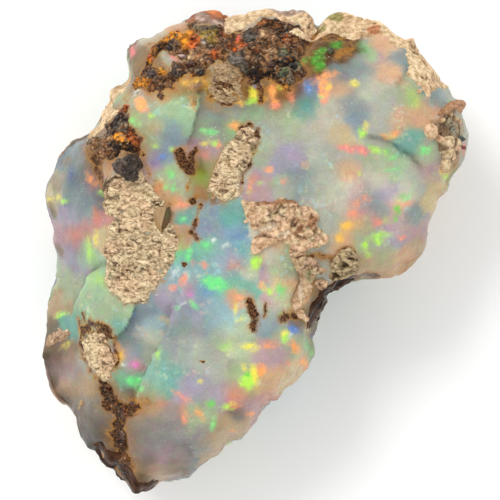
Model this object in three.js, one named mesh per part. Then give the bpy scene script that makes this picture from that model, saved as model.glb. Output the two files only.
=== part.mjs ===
// A rough precious opal: one broken nodule of milky opal, fused to the host rock that it grew in.
// It lies on its back. The broad broken face that shows the play of colour looks up (+Z), the length
// runs along Y with the point at -Y, and the origin is in the middle of the stone's box, on the surface
// that it rests on. All sizes are in millimetres.

import * as THREE from "three";
import { ImprovedNoise } from "three/addons/math/ImprovedNoise.js";
import { mergeVertices } from "three/addons/utils/BufferGeometryUtils.js";

// Driving dimensions: the finished stone's box.
const LENGTH = 30.5;
const WIDTH = 26.75;
const THICKNESS = 12.2;

const FACETS_PER_EDGE = 19; // subdivisions of the icosahedron that carries the surface
const OUTLINE_STEPS = 480; // samples round the outline
const TOP_LUMPS = 0.2; // height of the lumps on the broken face
const BACK_LUMPS = 0.4; // height of the lumps on the back
const LUMP_SIZE = 2.6; // width of a lump
const SIDE_DENTS = 0.9; // how deep the sides are chipped in, away from the outline
const DENT_SIZE = 3.0; // width of a chip
const FINE_LUMP = 0.5; // height and width of the finer lumps on each lump, as a share of it
const FOOT_DEPTH = 0.35; // how much of the rounded back is taken off by the flat face that it rests on
const WEAR_PASSES = 2; // how often the surface is evened out
const WEAR_SHARE = 0.4;

// The point inside the outline that every stretch of it can be seen from.
const HUB = new THREE.Vector2(-2.2, 1.3);

// The stone's outline seen from above, clockwise from the two lobes at its top edge.
const OUTLINE = [
  // the brown lobe and the two pale lobes along the top
  [-4.3, 14.5], [-3.9, 15.1], [-2.9, 15.25], [-2.1, 15.1], [-1.7, 14.9], [-0.8, 14.65], [0.3, 15.0],
  [1.6, 15.0], [3.0, 14.9], [3.6, 14.4], [3.85, 14.1], [4.5, 14.6], [5.2, 14.9],
  // the long slope down to the brown tip at the right
  [6.1, 14.7], [7.2, 14.4], [8.3, 13.8], [9.3, 13.1], [9.8, 13.15], [10.3, 12.3], [11.2, 11.3],
  [11.8, 10.4], [12.2, 9.8], [12.5, 9.4], [13.1, 9.2], [12.9, 8.7],
  // the right edge
  [13.2, 7.7], [13.4, 7.2], [13.2, 6.2], [12.8, 5.2], [12.2, 4.0], [11.5, 3.2], [11.1, 2.2],
  [10.9, 1.3], [10.6, 0.2], [10.1, -0.6], [9.6, -1.25], [8.7, -1.7], [7.4, -1.75],
  // the notch between the two lobes
  [6.5, -1.9], [5.7, -2.05], [5.1, -2.5], [4.4, -2.85], [4.55, -3.15], [4.1, -4.0], [3.8, -5.1],
  [3.6, -5.5], [3.7, -6.1], [3.7, -6.6],
  // the lower lobe's right edge, down to the point
  [3.3, -7.3], [2.3, -8.4], [1.7, -8.9], [1.1, -9.4], [0.4, -10.1], [-0.1, -11.0], [-0.8, -11.8],
  [-1.6, -12.1], [-2.2, -12.7], [-3.5, -13.6], [-4.2, -14.3], [-5.2, -14.5], [-6.2, -14.75],
  [-7.2, -15.15], [-7.7, -15.2], [-8.1, -14.5], [-8.7, -14.1], [-9.1, -13.6], [-9.7, -13.1],
  // the left edge, up to the top lobe
  [-10.0, -12.55], [-10.6, -12.3], [-11.1, -11.4], [-11.3, -10.4], [-12.0, -9.7], [-12.8, -8.9],
  [-13.1, -7.8], [-13.35, -6.4], [-13.1, -4.9], [-13.0, -3.2], [-12.6, -1.9], [-12.5, -0.3],
  [-12.7, 0.7], [-12.65, 1.2], [-12.9, 2.2], [-13.2, 3.5], [-12.9, 4.6], [-12.5, 5.4], [-12.1, 6.3],
  [-11.5, 6.95], [-10.6, 7.35], [-9.9, 8.1], [-9.3, 9.0], [-9.0, 9.9], [-8.2, 10.6], [-7.9, 10.9],
  [-8.0, 11.9], [-8.05, 12.5], [-7.6, 13.1], [-6.9, 13.4], [-5.9, 13.75], [-5.0, 14.15],
];

// How the edge of the stone runs: the height of its outline, how far in its upper edge rounds over, and
// how far in it is undercut, at compass angles about the hub, in degrees from +X.
const EDGE = [
  { angle: -175, height: 4.0, bevel: 3.4, undercut: 4.5 },
  { angle: -145, height: 4.6, bevel: 3.0, undercut: 5.0 },
  { angle: -122, height: 4.6, bevel: 2.6, undercut: 4.5 },
  { angle: -108, height: 4.0, bevel: 2.4, undercut: 4.0 },
  { angle: -85, height: 5.2, bevel: 2.2, undercut: 4.5 },
  { angle: -60, height: 6.2, bevel: 1.9, undercut: 5.0 },
  { angle: -45, height: 5.0, bevel: 1.2, undercut: 3.0 },
  { angle: -30, height: 5.2, bevel: 1.0, undercut: 3.0 },
  { angle: -15, height: 7.0, bevel: 1.6, undercut: 5.5 },
  { angle: 0, height: 6.6, bevel: 1.9, undercut: 5.5 },
  { angle: 27, height: 7.2, bevel: 1.5, undercut: 6.0 },
  { angle: 50, height: 7.6, bevel: 1.5, undercut: 6.5 },
  { angle: 65, height: 6.6, bevel: 2.4, undercut: 5.5 },
  { angle: 82, height: 5.2, bevel: 3.6, undercut: 5.0 },
  { angle: 100, height: 4.6, bevel: 4.0, undercut: 4.5 },
  { angle: 120, height: 4.0, bevel: 3.6, undercut: 4.0 },
  { angle: 145, height: 3.6, bevel: 3.4, undercut: 4.0 },
  { angle: 165, height: 3.6, bevel: 3.8, undercut: 4.0 },
];

// Fracture faces of the upper side, each a plane through a point, with its slopes along X and Y. The
// stone lies under them all.
const UPPER_FACES = [
  { name: "right lobe", at: [6, 5, 12.0], slope: [-0.03, 0.0] },
  { name: "lower face", at: [-2, -6, 11.0], slope: [-0.02, 0.1] },
  { name: "upper left plate", at: [-5, 7, 11.1], slope: [0.14, -0.03] },
  { name: "left flank", at: [-9.5, 3, 10.3], slope: [1.15, 0.03] },
  { name: "top slope", at: [0, 10.8, 11.5], slope: [-0.04, -0.95] },
  { name: "top left slope", at: [-7.5, 9.5, 10.0], slope: [0.5, -0.7] },
  { name: "top right slope", at: [8.5, 11.8, 11.0], slope: [-0.4, -0.5] },
  { name: "lower left flank", at: [-9.6, -7, 9.9], slope: [0.8, 0.22] },
  { name: "point", at: [-6, -12, 9.6], slope: [0.1, 0.5] },
  { name: "right flank", at: [12.2, 6, 10.9], slope: [-0.9, 0.0] },
  { name: "lower right edge", at: [2, -8.2, 10.3], slope: [-0.4, 0.25] },
];

// Bowls left by flakes that broke away: each is a ball that the upper side stays out of.
const BOWLS = [
  { name: "terrace above the notch", at: [4.0, -3.0, 12.9], radius: 3.3 },
  { name: "chip in the right edge", at: [13.1, 7.0, 11.6], radius: 2.8 },
  { name: "dip between the top lobes", at: [3.9, 15.4, 9.8], radius: 2.6 },
  { name: "hollow of the lower left ledge", at: [-7.3, -6.2, 14.6], radius: 4.6 },
];

// Grains of the host rock that stand proud of the broken faces.
const GRAINS = [
  { name: "spongy grain beside the notch", at: [5.4, -0.9], height: 1.0, radius: 1.6 },
  { name: "dark grain on the upper left", at: [-8.1, 5.2], height: 0.5, radius: 1.6 },
  { name: "clump in the right edge's chip", at: [11.6, 6.4], height: 0.8, radius: 1.8 },
];

// Planes that the underside rises along towards its edges, as the upper faces above.
const LOWER_FACES = [
  { name: "right", at: [4.5, 3, 0], slope: [0.42, 0.1] },
  { name: "top right", at: [5, 8, 0], slope: [0.3, 0.38] },
  { name: "top", at: [-1, 8.5, 0], slope: [0.05, 0.5] },
  { name: "upper left", at: [-7.5, 4, 0], slope: [-0.45, 0.22] },
  { name: "left", at: [-8, -3, 0], slope: [-0.5, -0.08] },
  { name: "point", at: [-5, -8.5, 0], slope: [-0.08, -0.4] },
  { name: "notch", at: [0.5, -4, 0], slope: [0.36, -0.3] },
];

const noise = new ImprovedNoise();

// Smooth noise between about -1 and 1: lumps of one size with finer ones on them.
function lumps({ x, y, z }, size) {
  const coarse = noise.noise(x / size, y / size, z / size);
  const fine = size * FINE_LUMP;
  return coarse + FINE_LUMP * noise.noise(x / fine, y / fine, z / fine);
}

// Quarter circle: 0 at the edge, 1 from one bevel width inwards.
function roundOver(distance, width) {
  const share = Math.min(distance / width, 1);
  return Math.sqrt(1 - (1 - share) ** 2);
}

function planeHeight({ at, slope }, x, y) {
  return at[2] + slope[0] * (x - at[0]) + slope[1] * (y - at[1]);
}

// Height of a ball's lower half above a point, or no limit where the point is beside the ball.
function bowlHeight({ at, radius }, x, y) {
  const reach = radius ** 2 - (x - at[0]) ** 2 - (y - at[1]) ** 2;
  return reach > 0 ? at[2] - Math.sqrt(reach) : Infinity;
}

// How far a grain lifts the surface at a point: its full height in the middle, nothing at its radius.
function grainHeight({ at, height, radius }, x, y) {
  const share = Math.min(Math.hypot(x - at[0], y - at[1]) / radius, 1);
  return height * (1 - share ** 2) ** 2;
}

// How far round from angle a to angle b an angle is, from 0 to 1.
function turnShare(a, b, angle, fullTurn) {
  const span = THREE.MathUtils.euclideanModulo(b - a, fullTurn);
  return span > 0 ? THREE.MathUtils.euclideanModulo(angle - a, fullTurn) / span : 0;
}

// The outline as a closed curve, sampled, with the edge's shape at each sample.
function sampleOutline() {
  const points = OUTLINE.map(([x, y]) => new THREE.Vector3(x, y, 0));
  const curve = new THREE.CatmullRomCurve3(points, true, "centripetal");
  return curve.getSpacedPoints(OUTLINE_STEPS).slice(0, OUTLINE_STEPS).map((p) => {
    const fromHub = new THREE.Vector2(p.x, p.y).sub(HUB);
    const angle = Math.atan2(fromHub.y, fromHub.x);
    return { x: p.x, y: p.y, angle, radius: fromHub.length(), edge: edgeAt(angle) };
  });
}

// The edge's shape at an angle in radians, between the two nearest entries of EDGE.
function edgeAt(angle) {
  const degrees = THREE.MathUtils.radToDeg(angle);
  const after = EDGE.findIndex((e) => e.angle > degrees);
  const b = EDGE[after < 0 ? 0 : after];
  const a = EDGE[after <= 0 ? EDGE.length - 1 : after - 1];
  const share = THREE.MathUtils.smoothstep(turnShare(a.angle, b.angle, degrees, 360), 0, 1);
  const mix = (key) => THREE.MathUtils.lerp(a[key], b[key], share);
  return { height: mix("height"), bevel: mix("bevel"), undercut: mix("undercut") };
}

const rim = sampleOutline();
const rimByAngle = [...rim].sort((p, q) => p.angle - q.angle);

// How far the outline is from the hub at an angle.
function outlineRadius(angle) {
  const after = rimByAngle.findIndex((p) => p.angle > angle);
  const b = rimByAngle[after < 0 ? 0 : after];
  const a = rimByAngle[after <= 0 ? rimByAngle.length - 1 : after - 1];
  return THREE.MathUtils.lerp(a.radius, b.radius, turnShare(a.angle, b.angle, angle, 2 * Math.PI));
}

// How far a point is from the outline, and the edge's shape at the nearest point of it.
function nearestRim(x, y) {
  let best = { distance: Infinity };
  rim.forEach((a, i) => {
    const b = rim[(i + 1) % rim.length];
    const along = (x - a.x) * (b.x - a.x) + (y - a.y) * (b.y - a.y);
    const share = THREE.MathUtils.clamp(along / ((b.x - a.x) ** 2 + (b.y - a.y) ** 2), 0, 1);
    const distance = Math.hypot(x - a.x - share * (b.x - a.x), y - a.y - share * (b.y - a.y));
    if (distance < best.distance) best = { distance, edge: a.edge };
  });
  return best;
}

function upperHeight(x, y, { distance, edge }) {
  const faces = Math.min(...UPPER_FACES.map((f) => planeHeight(f, x, y)));
  const bowls = Math.min(...BOWLS.map((b) => bowlHeight(b, x, y)));
  const grains = GRAINS.reduce((sum, g) => sum + grainHeight(g, x, y), 0);
  const relief = Math.min(faces, bowls) + grains + TOP_LUMPS * lumps({ x, y, z: THICKNESS }, LUMP_SIZE);
  return edge.height + Math.max(relief - edge.height, 0) * roundOver(distance, edge.bevel);
}

function lowerHeight(x, y, { distance, edge }) {
  const rounded = edge.height * (1 - roundOver(distance, edge.undercut));
  const faces = Math.max(...LOWER_FACES.map((f) => Math.min(planeHeight(f, x, y), edge.height)));
  const lumpy = Math.max(rounded, faces) + BACK_LUMPS * lumps({ x, y, z: 0 }, LUMP_SIZE);
  const footed = Math.max(lumpy - FOOT_DEPTH, 0);
  return THREE.MathUtils.lerp(edge.height, footed, roundOver(distance, edge.undercut / 2));
}

// Where a point of the unit sphere lies on the stone: its equator becomes the outline.
function stonePoint(unit) {
  const angle = Math.atan2(unit.y, unit.x);
  const share = Math.hypot(unit.x, unit.y);
  const radius = outlineRadius(angle) * share;
  const flat = new THREE.Vector2(Math.cos(angle), Math.sin(angle)).multiplyScalar(radius).add(HUB);
  const near = nearestRim(flat.x, flat.y);
  const heightAt = unit.z > 0 ? upperHeight : lowerHeight;
  const point = new THREE.Vector3(flat.x, flat.y, heightAt(flat.x, flat.y, near));
  // The sides are chipped in towards the hub, but neither the outline nor the middle of a face is.
  const onSide = Math.abs(unit.z) * share ** 4;
  const inwards = new THREE.Vector3(HUB.x - flat.x, HUB.y - flat.y, 0).normalize();
  return point.addScaledVector(inwards, SIDE_DENTS * onSide * Math.max(lumps(point, DENT_SIZE), 0));
}

// The vertices that share an edge with each vertex.
function neighbours(geometry) {
  const around = Array.from({ length: geometry.getAttribute("position").count }, () => new Set());
  const corners = geometry.getIndex().array;
  for (let i = 0; i < corners.length; i += 3) {
    const [a, b, c] = corners.slice(i, i + 3);
    around[a].add(b).add(c);
    around[b].add(c).add(a);
    around[c].add(a).add(b);
  }
  return around;
}

// Evens out the triangles and wears the sharpest edges: each pass moves every vertex part of the way to
// the middle of its neighbours.
function wear(geometry, passes, share) {
  const position = geometry.getAttribute("position");
  const around = neighbours(geometry);
  for (let pass = 0; pass < passes; pass++) {
    const before = around.map((_, i) => new THREE.Vector3().fromBufferAttribute(position, i));
    around.forEach((ring, i) => {
      const middle = new THREE.Vector3();
      ring.forEach((j) => middle.addScaledVector(before[j], 1 / ring.size));
      middle.lerp(before[i], 1 - share);
      position.setXYZ(i, middle.x, middle.y, middle.z);
    });
  }
}

// Scales the geometry to the driving dimensions and sets its origin at the middle of its underside.
function fitToBox(geometry) {
  geometry.computeBoundingBox();
  const size = geometry.boundingBox.getSize(new THREE.Vector3());
  const centre = geometry.boundingBox.getCenter(new THREE.Vector3());
  geometry.translate(-centre.x, -centre.y, -geometry.boundingBox.min.z);
  geometry.scale(WIDTH / size.x, LENGTH / size.y, THICKNESS / size.z);
}

function stoneGeometry() {
  const sphere = new THREE.IcosahedronGeometry(1, FACETS_PER_EDGE);
  sphere.deleteAttribute("normal");
  sphere.deleteAttribute("uv");
  const geometry = mergeVertices(sphere, 1e-5);
  const position = geometry.getAttribute("position");
  const vertex = new THREE.Vector3();
  for (let i = 0; i < position.count; i++) {
    vertex.fromBufferAttribute(position, i).normalize();
    const placed = stonePoint(vertex);
    position.setXYZ(i, placed.x, placed.y, placed.z);
  }
  wear(geometry, WEAR_PASSES, WEAR_SHARE);
  fitToBox(geometry);
  geometry.computeVertexNormals();
  return geometry;
}

function opalMaterial() {
  return new THREE.MeshStandardMaterial({ color: 0xb4bab4, roughness: 0.25, metalness: 0 });
}

const stone = new THREE.Mesh(stoneGeometry(), opalMaterial());
stone.name = "rough_opal";

const opal = new THREE.Group();
opal.add(stone);

export default opal;
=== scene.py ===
import itertools
import math
from dataclasses import dataclass

import bmesh
import bpy
import numpy as np
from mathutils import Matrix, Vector
from mathutils.bvhtree import BVHTree


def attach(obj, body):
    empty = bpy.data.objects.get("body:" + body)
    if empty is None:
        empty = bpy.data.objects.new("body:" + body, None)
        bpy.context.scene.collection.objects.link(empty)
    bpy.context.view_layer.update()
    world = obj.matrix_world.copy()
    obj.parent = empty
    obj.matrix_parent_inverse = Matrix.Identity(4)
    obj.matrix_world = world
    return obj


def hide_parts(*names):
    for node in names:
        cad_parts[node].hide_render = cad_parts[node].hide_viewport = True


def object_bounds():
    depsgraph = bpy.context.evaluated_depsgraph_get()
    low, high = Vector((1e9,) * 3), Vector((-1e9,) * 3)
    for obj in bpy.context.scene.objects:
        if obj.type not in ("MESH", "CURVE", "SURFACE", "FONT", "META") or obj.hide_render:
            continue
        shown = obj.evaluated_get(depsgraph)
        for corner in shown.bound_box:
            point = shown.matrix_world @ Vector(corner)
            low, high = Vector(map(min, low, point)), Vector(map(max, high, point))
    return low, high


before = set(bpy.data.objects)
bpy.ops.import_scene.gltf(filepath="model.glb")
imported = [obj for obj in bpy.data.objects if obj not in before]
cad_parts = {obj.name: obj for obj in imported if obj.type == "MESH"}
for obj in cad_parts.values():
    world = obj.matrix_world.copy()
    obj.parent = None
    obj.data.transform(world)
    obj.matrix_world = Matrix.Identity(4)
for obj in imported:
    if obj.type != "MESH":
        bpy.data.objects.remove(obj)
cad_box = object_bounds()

# A rough precious opal lying on its back, seen from straight above: a body of milky opal, patches of the tuff
# that it grew in, crusts of iron oxide and small grains and crystals.
# Lengths are in millimetres until a mesh is made; meshes are in metres. Places on the stone's upper side are
# written in the photograph's pixels, (u, v) from its top left corner, and plan() turns them into millimetres.
MM = 0.001
PHOTO = 500  # pixels on each side of the photograph
PX_PER_MM = 16.0
STONE_U, STONE_V = 255.0, 251.0  # where the stone's origin is in the photograph
NODE = "rough_opal"
HUB = (-2.2, 1.3)  # every stretch of the outline can be seen from here
LOW, HIGH = (np.array(corner) / MM for corner in cad_box)


def plan(places):
    """Photograph pixels to millimetres in plan."""
    uv = np.atleast_2d(np.array(places, float))
    return (uv[:, :2] - (STONE_U, STONE_V)) * (1, -1) / PX_PER_MM


def rgb(*levels):
    """A colour of 0 to 255 on a screen, as Blender's linear colour."""
    shares = [level / 255 for level in levels]
    return tuple(c / 12.92 if c < 0.04045 else ((c + 0.055) / 1.055) ** 2.4 for c in shares)


# ---------------------------------------------------------------- colours

# milky body
SLATE = rgb(134, 152, 160)
DUSK = rgb(132, 154, 174)
SKY = rgb(142, 180, 198)
TEAL = rgb(118, 176, 170)
MINT = rgb(158, 192, 164)
SAGE = rgb(164, 180, 156)
MIST = rgb(172, 180, 176)
PEARL = rgb(190, 192, 182)
LILAC = rgb(164, 160, 188)
MAUVE = rgb(178, 154, 166)
ROSE = rgb(192, 144, 142)
PEACH = rgb(208, 170, 144)
SAND = rgb(196, 182, 152)
TAN = rgb(182, 162, 138)
CLAY = rgb(160, 134, 116)
ASH = rgb(150, 148, 150)
SMOKE = rgb(112, 114, 112)
# dark grey brown of the body; in the notch's recess it is painted shade
SHADE = rgb(128, 118, 106)
BARK = rgb(92, 72, 54)
MOSS = rgb(150, 150, 112)

# play of colour
VIOLET = rgb(120, 110, 200)
BLUE = rgb(84, 134, 206)
AQUA = rgb(70, 178, 176)
GREEN = rgb(110, 226, 126)
LEAF = rgb(92, 200, 70)
LIME = rgb(174, 234, 78)
YELLOW = rgb(238, 224, 76)
GOLD = rgb(246, 190, 76)
ORANGE = rgb(252, 160, 86)
SALMON = rgb(240, 142, 112)
RED = rgb(236, 106, 96)
PINK = rgb(238, 116, 126)
MAGENTA = rgb(224, 104, 190)
FERN = rgb(62, 150, 44)
# the white of the painted glints
GLINT_WHITE = rgb(244, 246, 240)

# host rock and iron
CREAM = rgb(240, 218, 180)
BUFF = rgb(214, 186, 150)
BISQUE = rgb(240, 208, 172)
FLESH = rgb(240, 204, 172)
OCHRE = rgb(186, 148, 108)
UMBER = rgb(92, 58, 32)
COAL = rgb(28, 17, 11)
GRAPHITE = rgb(74, 66, 62)
RUST = rgb(176, 92, 30)
AMBER = rgb(226, 150, 36)


def mixed(colours, other, share):
    """Moves a colour, or many, towards another by each point's share."""
    colours = np.asarray(colours)
    return colours + share[:, None] * (np.asarray(other) - colours)


def tones(number, palette):
    """A colour of the palette for each random number from 0 to 1."""
    return np.array(palette)[np.minimum((number * len(palette)).astype(int), len(palette) - 1)]


# ---------------------------------------------------------------- numbers for many points at once


def hashed(cells, seed):
    """A repeatable random number from 0 to 1 for each whole-number cell."""
    n = cells[:, 0] * 73856093 ^ cells[:, 1] * 19349663 ^ cells[:, 2] * 83492791 ^ (seed + 1) * 2654435761
    n = (n ^ (n >> 13)) * 1274126177
    n = (n ^ (n >> 16)) * 1103515245
    return ((n >> 7) & 0xFFFFF) / float(0xFFFFF)


def noise(points, size, seed=0):
    """Gradient noise with lumps about `size` across, from about -1 to 1."""
    p = points / size
    base = np.floor(p).astype(np.int64)
    part = p - base
    blend = part ** 3 * (part * (part * 6 - 15) + 10)
    total = np.zeros(len(points))
    for corner in itertools.product((0, 1), repeat=3):
        cell = base + corner
        slope = np.stack([hashed(cell, 3 * seed + k) for k in range(3)], axis=1) * 2 - 1
        share = np.where(corner, blend, 1 - blend).prod(axis=1)
        total += share * ((part - corner) * slope).sum(axis=1)
    return 1.6 * total


def fractal(points, size, octaves=3, seed=0):
    """Noise of several sizes, each half as wide and half as high as the one before."""
    return sum(noise(points, size / 2 ** k, seed + 17 * k) / 2 ** k for k in range(octaves))


def drift(points, size, seed, reach):
    """Two noises, up to about `reach`, that move places about in plan."""
    return reach * np.column_stack([noise(points, size, seed), noise(points, size, seed + 1)])


def grains_of(points, size, seed=0):
    """Splits space into grains about `size` across.

    For each point: its distance to its grain's middle and to the next grain's, both as shares of the size,
    its grain's random number, and the way from its grain's middle.
    """
    p = points / size
    base = np.floor(p).astype(np.int64)
    first, second = np.full(len(p), 9.0), np.full(len(p), 9.0)
    number, reach = np.zeros(len(p)), np.zeros((len(p), 3))
    for step in itertools.product((-1, 0, 1), repeat=3):
        cell = base + step
        middle = cell + np.stack([hashed(cell, seed + k) for k in range(3)], axis=1)
        away = np.linalg.norm(p - middle, axis=1)
        nearer = away < first
        second = np.where(nearer, first, np.minimum(second, away))
        number = np.where(nearer, hashed(cell, seed + 5), number)
        reach[nearer] = (p - middle)[nearer]
        first = np.minimum(first, away)
    return first, second, number, reach


def tilted(number, reach):
    """The height of a flat face that leans its own way in each grain."""
    turn = number * 97
    return reach[:, 0] * np.cos(turn) + reach[:, 1] * np.sin(turn)


def smoothstep(low, high, value):
    """0 below `low`, 1 above `high` and a smooth run between them."""
    share = np.clip((value - low) / (high - low), 0, 1)
    return share * share * (3 - 2 * share)


def smooth_closed(outline, steps=4):
    """Points on a smooth closed curve through an outline's points."""
    p = np.array(outline, float)
    before, after, last = np.roll(p, 1, 0), np.roll(p, -1, 0), np.roll(p, -2, 0)
    curve = []
    for t in np.arange(steps) / steps:
        curve.append(0.5 * (2 * p + (after - before) * t + (2 * before - 5 * p + 4 * after - last) * t ** 2
                            + (3 * p - before - 3 * after + last) * t ** 3))
    return np.stack(curve, axis=1).reshape(-1, 2)


def away_from_line(xy, line):
    """Each point's distance to a line, which side of it the point is on (1 is to the left of its direction),
    and how far along it the nearest place is, from 0 to 1."""
    nearest, side, along = np.full(len(xy), 99.0), np.ones(len(xy)), np.zeros(len(xy))
    for k, (a, b) in enumerate(zip(line[:-1], line[1:])):
        run, reach = b - a, xy - a
        share = np.clip(reach @ run / max(run @ run, 1e-12), 0, 1)
        away = np.linalg.norm(reach - share[:, None] * run, axis=1)
        closer = away < nearest
        nearest = np.where(closer, away, nearest)
        side = np.where(closer, np.sign(run[0] * reach[:, 1] - run[1] * reach[:, 0]), side)
        along = np.where(closer, (k + share) / (len(line) - 1), along)
    return nearest, side, along


def tapered(along, share):
    """1 along a line, falling to 0 over a share of it at each end."""
    return smoothstep(0, share, along) * smoothstep(1, 1 - share, along)


def across(line):
    """The direction to the left of a line as a whole."""
    run = line[-1] - line[0]
    return np.array([-run[1], run[0]]) / np.linalg.norm(run)


def depth_inside(xy, outline, margin=2.2):
    """How far each point is inside a closed outline, negative outside, exact to `margin` outside it."""
    depth = np.full(len(xy), -margin)
    near = np.flatnonzero(((xy > outline.min(0) - margin) & (xy < outline.max(0) + margin)).all(axis=1))
    if len(near) == 0:
        return depth
    spot = xy[near]
    closed = np.vstack([outline, outline[:1]])
    away, _, _ = away_from_line(spot, closed)
    inside = np.zeros(len(spot), bool)
    for a, b in zip(closed[:-1], closed[1:]):
        spans = (a[1] > spot[:, 1]) != (b[1] > spot[:, 1])
        crossing = a[0] + (spot[:, 1] - a[1]) * (b[0] - a[0]) / (b[1] - a[1] + 1e-12)
        inside ^= spans & (spot[:, 0] < crossing)
    depth[near] = np.maximum(np.where(inside, away, -away), -margin)
    return depth


# ---------------------------------------------------------------- meshes


def linked(obj):
    """Puts an object in the scene."""
    bpy.context.collection.objects.link(obj)
    return obj


def applied(obj):
    """Gives an object the mesh that its modifiers make of it."""
    mesh = bpy.data.meshes.new_from_object(obj.evaluated_get(bpy.context.evaluated_depsgraph_get()))
    obj.modifiers.clear()
    obj.data = mesh
    mesh.shade_smooth()
    return mesh


def welded(source, name):
    """A copy of an object in which the triangles share their corners."""
    mesh = source.data.copy()
    welding = bmesh.new()
    welding.from_mesh(mesh)
    bmesh.ops.remove_doubles(welding, verts=welding.verts, dist=1e-7)
    welding.to_mesh(mesh)
    welding.free()
    mesh.materials.clear()
    mesh.shade_smooth()
    return bpy.data.objects.new(name, mesh)


def subdivided(source, name, levels):
    """A copy of an object with its surface subdivided and smoothed."""
    obj = linked(bpy.data.objects.new(name, source.data.copy()))
    obj.modifiers.new("subdivision", "SUBSURF").levels = levels
    applied(obj).name = name
    return obj


def cut_out(source, name, chosen, levels):
    """Only the chosen faces of an object, made finer."""
    cutting = bmesh.new()
    cutting.from_mesh(source.data)
    spare = [face for face, keep in zip(cutting.faces, chosen) if not keep]
    bmesh.ops.delete(cutting, geom=spare, context="FACES")
    mesh = bpy.data.meshes.new(name)
    cutting.to_mesh(mesh)
    cutting.free()
    part = bpy.data.objects.new(name + "_part", mesh)
    finer = subdivided(part, name, levels)
    bpy.data.objects.remove(part)
    return finer


def gathered(items, key):
    """A vector of each of a mesh's points or faces."""
    values = np.empty(len(items) * 3, np.float32)
    items.foreach_get(key, values)
    return values.reshape(-1, 3).astype(float)


def places_and_normals(obj):
    """The places of a mesh's points, in millimetres, and their normals."""
    return gathered(obj.data.vertices, "co") / MM, gathered(obj.data.vertex_normals, "vector")


def place(obj, points):
    """Moves a mesh's points, but not out of the CAD part's box."""
    inside = np.clip(points, LOW, HIGH)
    obj.data.vertices.foreach_set("co", (inside * MM).astype(np.float32).ravel())
    obj.data.update()


def keep_number(obj, name, values):
    """Stores a number for each point of a mesh, for its material."""
    layer = obj.data.attributes.new(name, "FLOAT", "POINT")
    layer.data.foreach_set("value", values.astype(np.float32))


def keep_colour(obj, name, colours):
    """Stores a colour for each point of a mesh, for its material."""
    layer = obj.data.attributes.new(name, "FLOAT_COLOR", "POINT")
    rgba = np.column_stack([colours, np.ones(len(colours))])
    layer.data.foreach_set("color", rgba.astype(np.float32).ravel())


# ---------------------------------------------------------------- the stone's shape

# The outline seen from above, clockwise from the top.
OUTLINE = [
    (188, 18), (192, 14.5), (197, 12), (203, 10.4), (209, 10), (215, 10.6), (221, 12.6), (227, 15.5),
    (235, 15.5), (243, 16), (250, 12), (260, 10.5), (268, 9.5), (280, 11), (295, 11), (303, 12), (309, 15),
    (313, 20), (316, 24.5), (321, 24), (327, 18), (333, 14.5), (339, 13), (345, 13.5), (352, 16), (361, 19),
    (371, 21), (379, 23.5), (388, 31), (397, 38), (404, 41), (411, 40), (415, 46), (420, 54), (427, 61),
    (434, 70), (439, 79), (443, 84), (448, 87), (451, 94), (455, 100), (461, 101), (465, 104), (464, 108),
    (461.5, 112), (464, 120), (466, 128), (469, 134), (468, 142), (466, 152), (464, 160), (459, 168),
    (455, 174), (452, 181), (450, 188), (445, 194), (439, 199), (437, 207), (433, 215), (429, 222),
    (428, 230), (427, 239), (426, 246), (422, 254), (417, 260), (412, 266), (408, 271), (402, 275),
    (394, 278), (384, 279), (374, 279.5), (366, 279), (359, 281), (351, 282.5), (346, 284), (342, 287),
    (337, 290.5), (331, 292), (326, 296), (327, 301), (324.5, 306), (321, 315), (318, 325), (315.5, 333),
    (313, 340), (314.5, 345), (315.5, 350), (315, 355), (312, 360), (308, 368), (303, 373), (298, 379),
    (292, 385), (287, 387), (282, 393), (279, 399), (273, 402), (268, 406), (262, 413), (258, 420),
    (253, 427), (248, 433), (242, 440), (236, 442), (230, 445), (224, 449), (220, 454), (213, 459),
    (205, 464), (199, 468), (195, 474), (188, 480), (180, 481), (172, 483), (161, 484), (155, 487),
    (151, 490), (146, 492.5), (140, 493.5), (136, 495), (132, 493.5), (129, 489), (125, 483), (120, 480),
    (116, 476), (114, 471), (110, 469), (104, 465), (100, 460), (98, 456), (95, 452), (90, 451), (86, 448),
    (82, 441), (78, 434), (76, 427), (75, 419), (72, 413), (67, 407), (62, 405), (56, 400), (51, 393),
    (47, 384), (45, 376), (44, 369), (42, 362), (41, 354), (43, 343), (45, 330), (45.5, 316), (47, 303),
    (49, 292), (53, 282), (55, 270), (56, 256), (54, 248), (52, 240), (53, 232), (51, 225), (48, 216),
    (46, 208), (44, 197), (44.5, 190), (46, 183), (50, 176), (53, 170), (55, 163), (57, 157), (61, 151),
    (66, 145), (71, 140), (77, 137), (85, 134), (92, 129), (97, 122), (101, 115), (106, 108), (109, 101),
    (110, 94), (112, 90), (118, 86), (124, 81), (127, 76), (127.5, 69), (126.5, 61), (125, 56), (125, 50),
    (127, 45), (133, 42), (138, 38), (145, 37), (151, 36.5), (156, 33), (161, 31), (166, 27), (172, 24),
    (180, 21), (185, 18),
]

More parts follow.
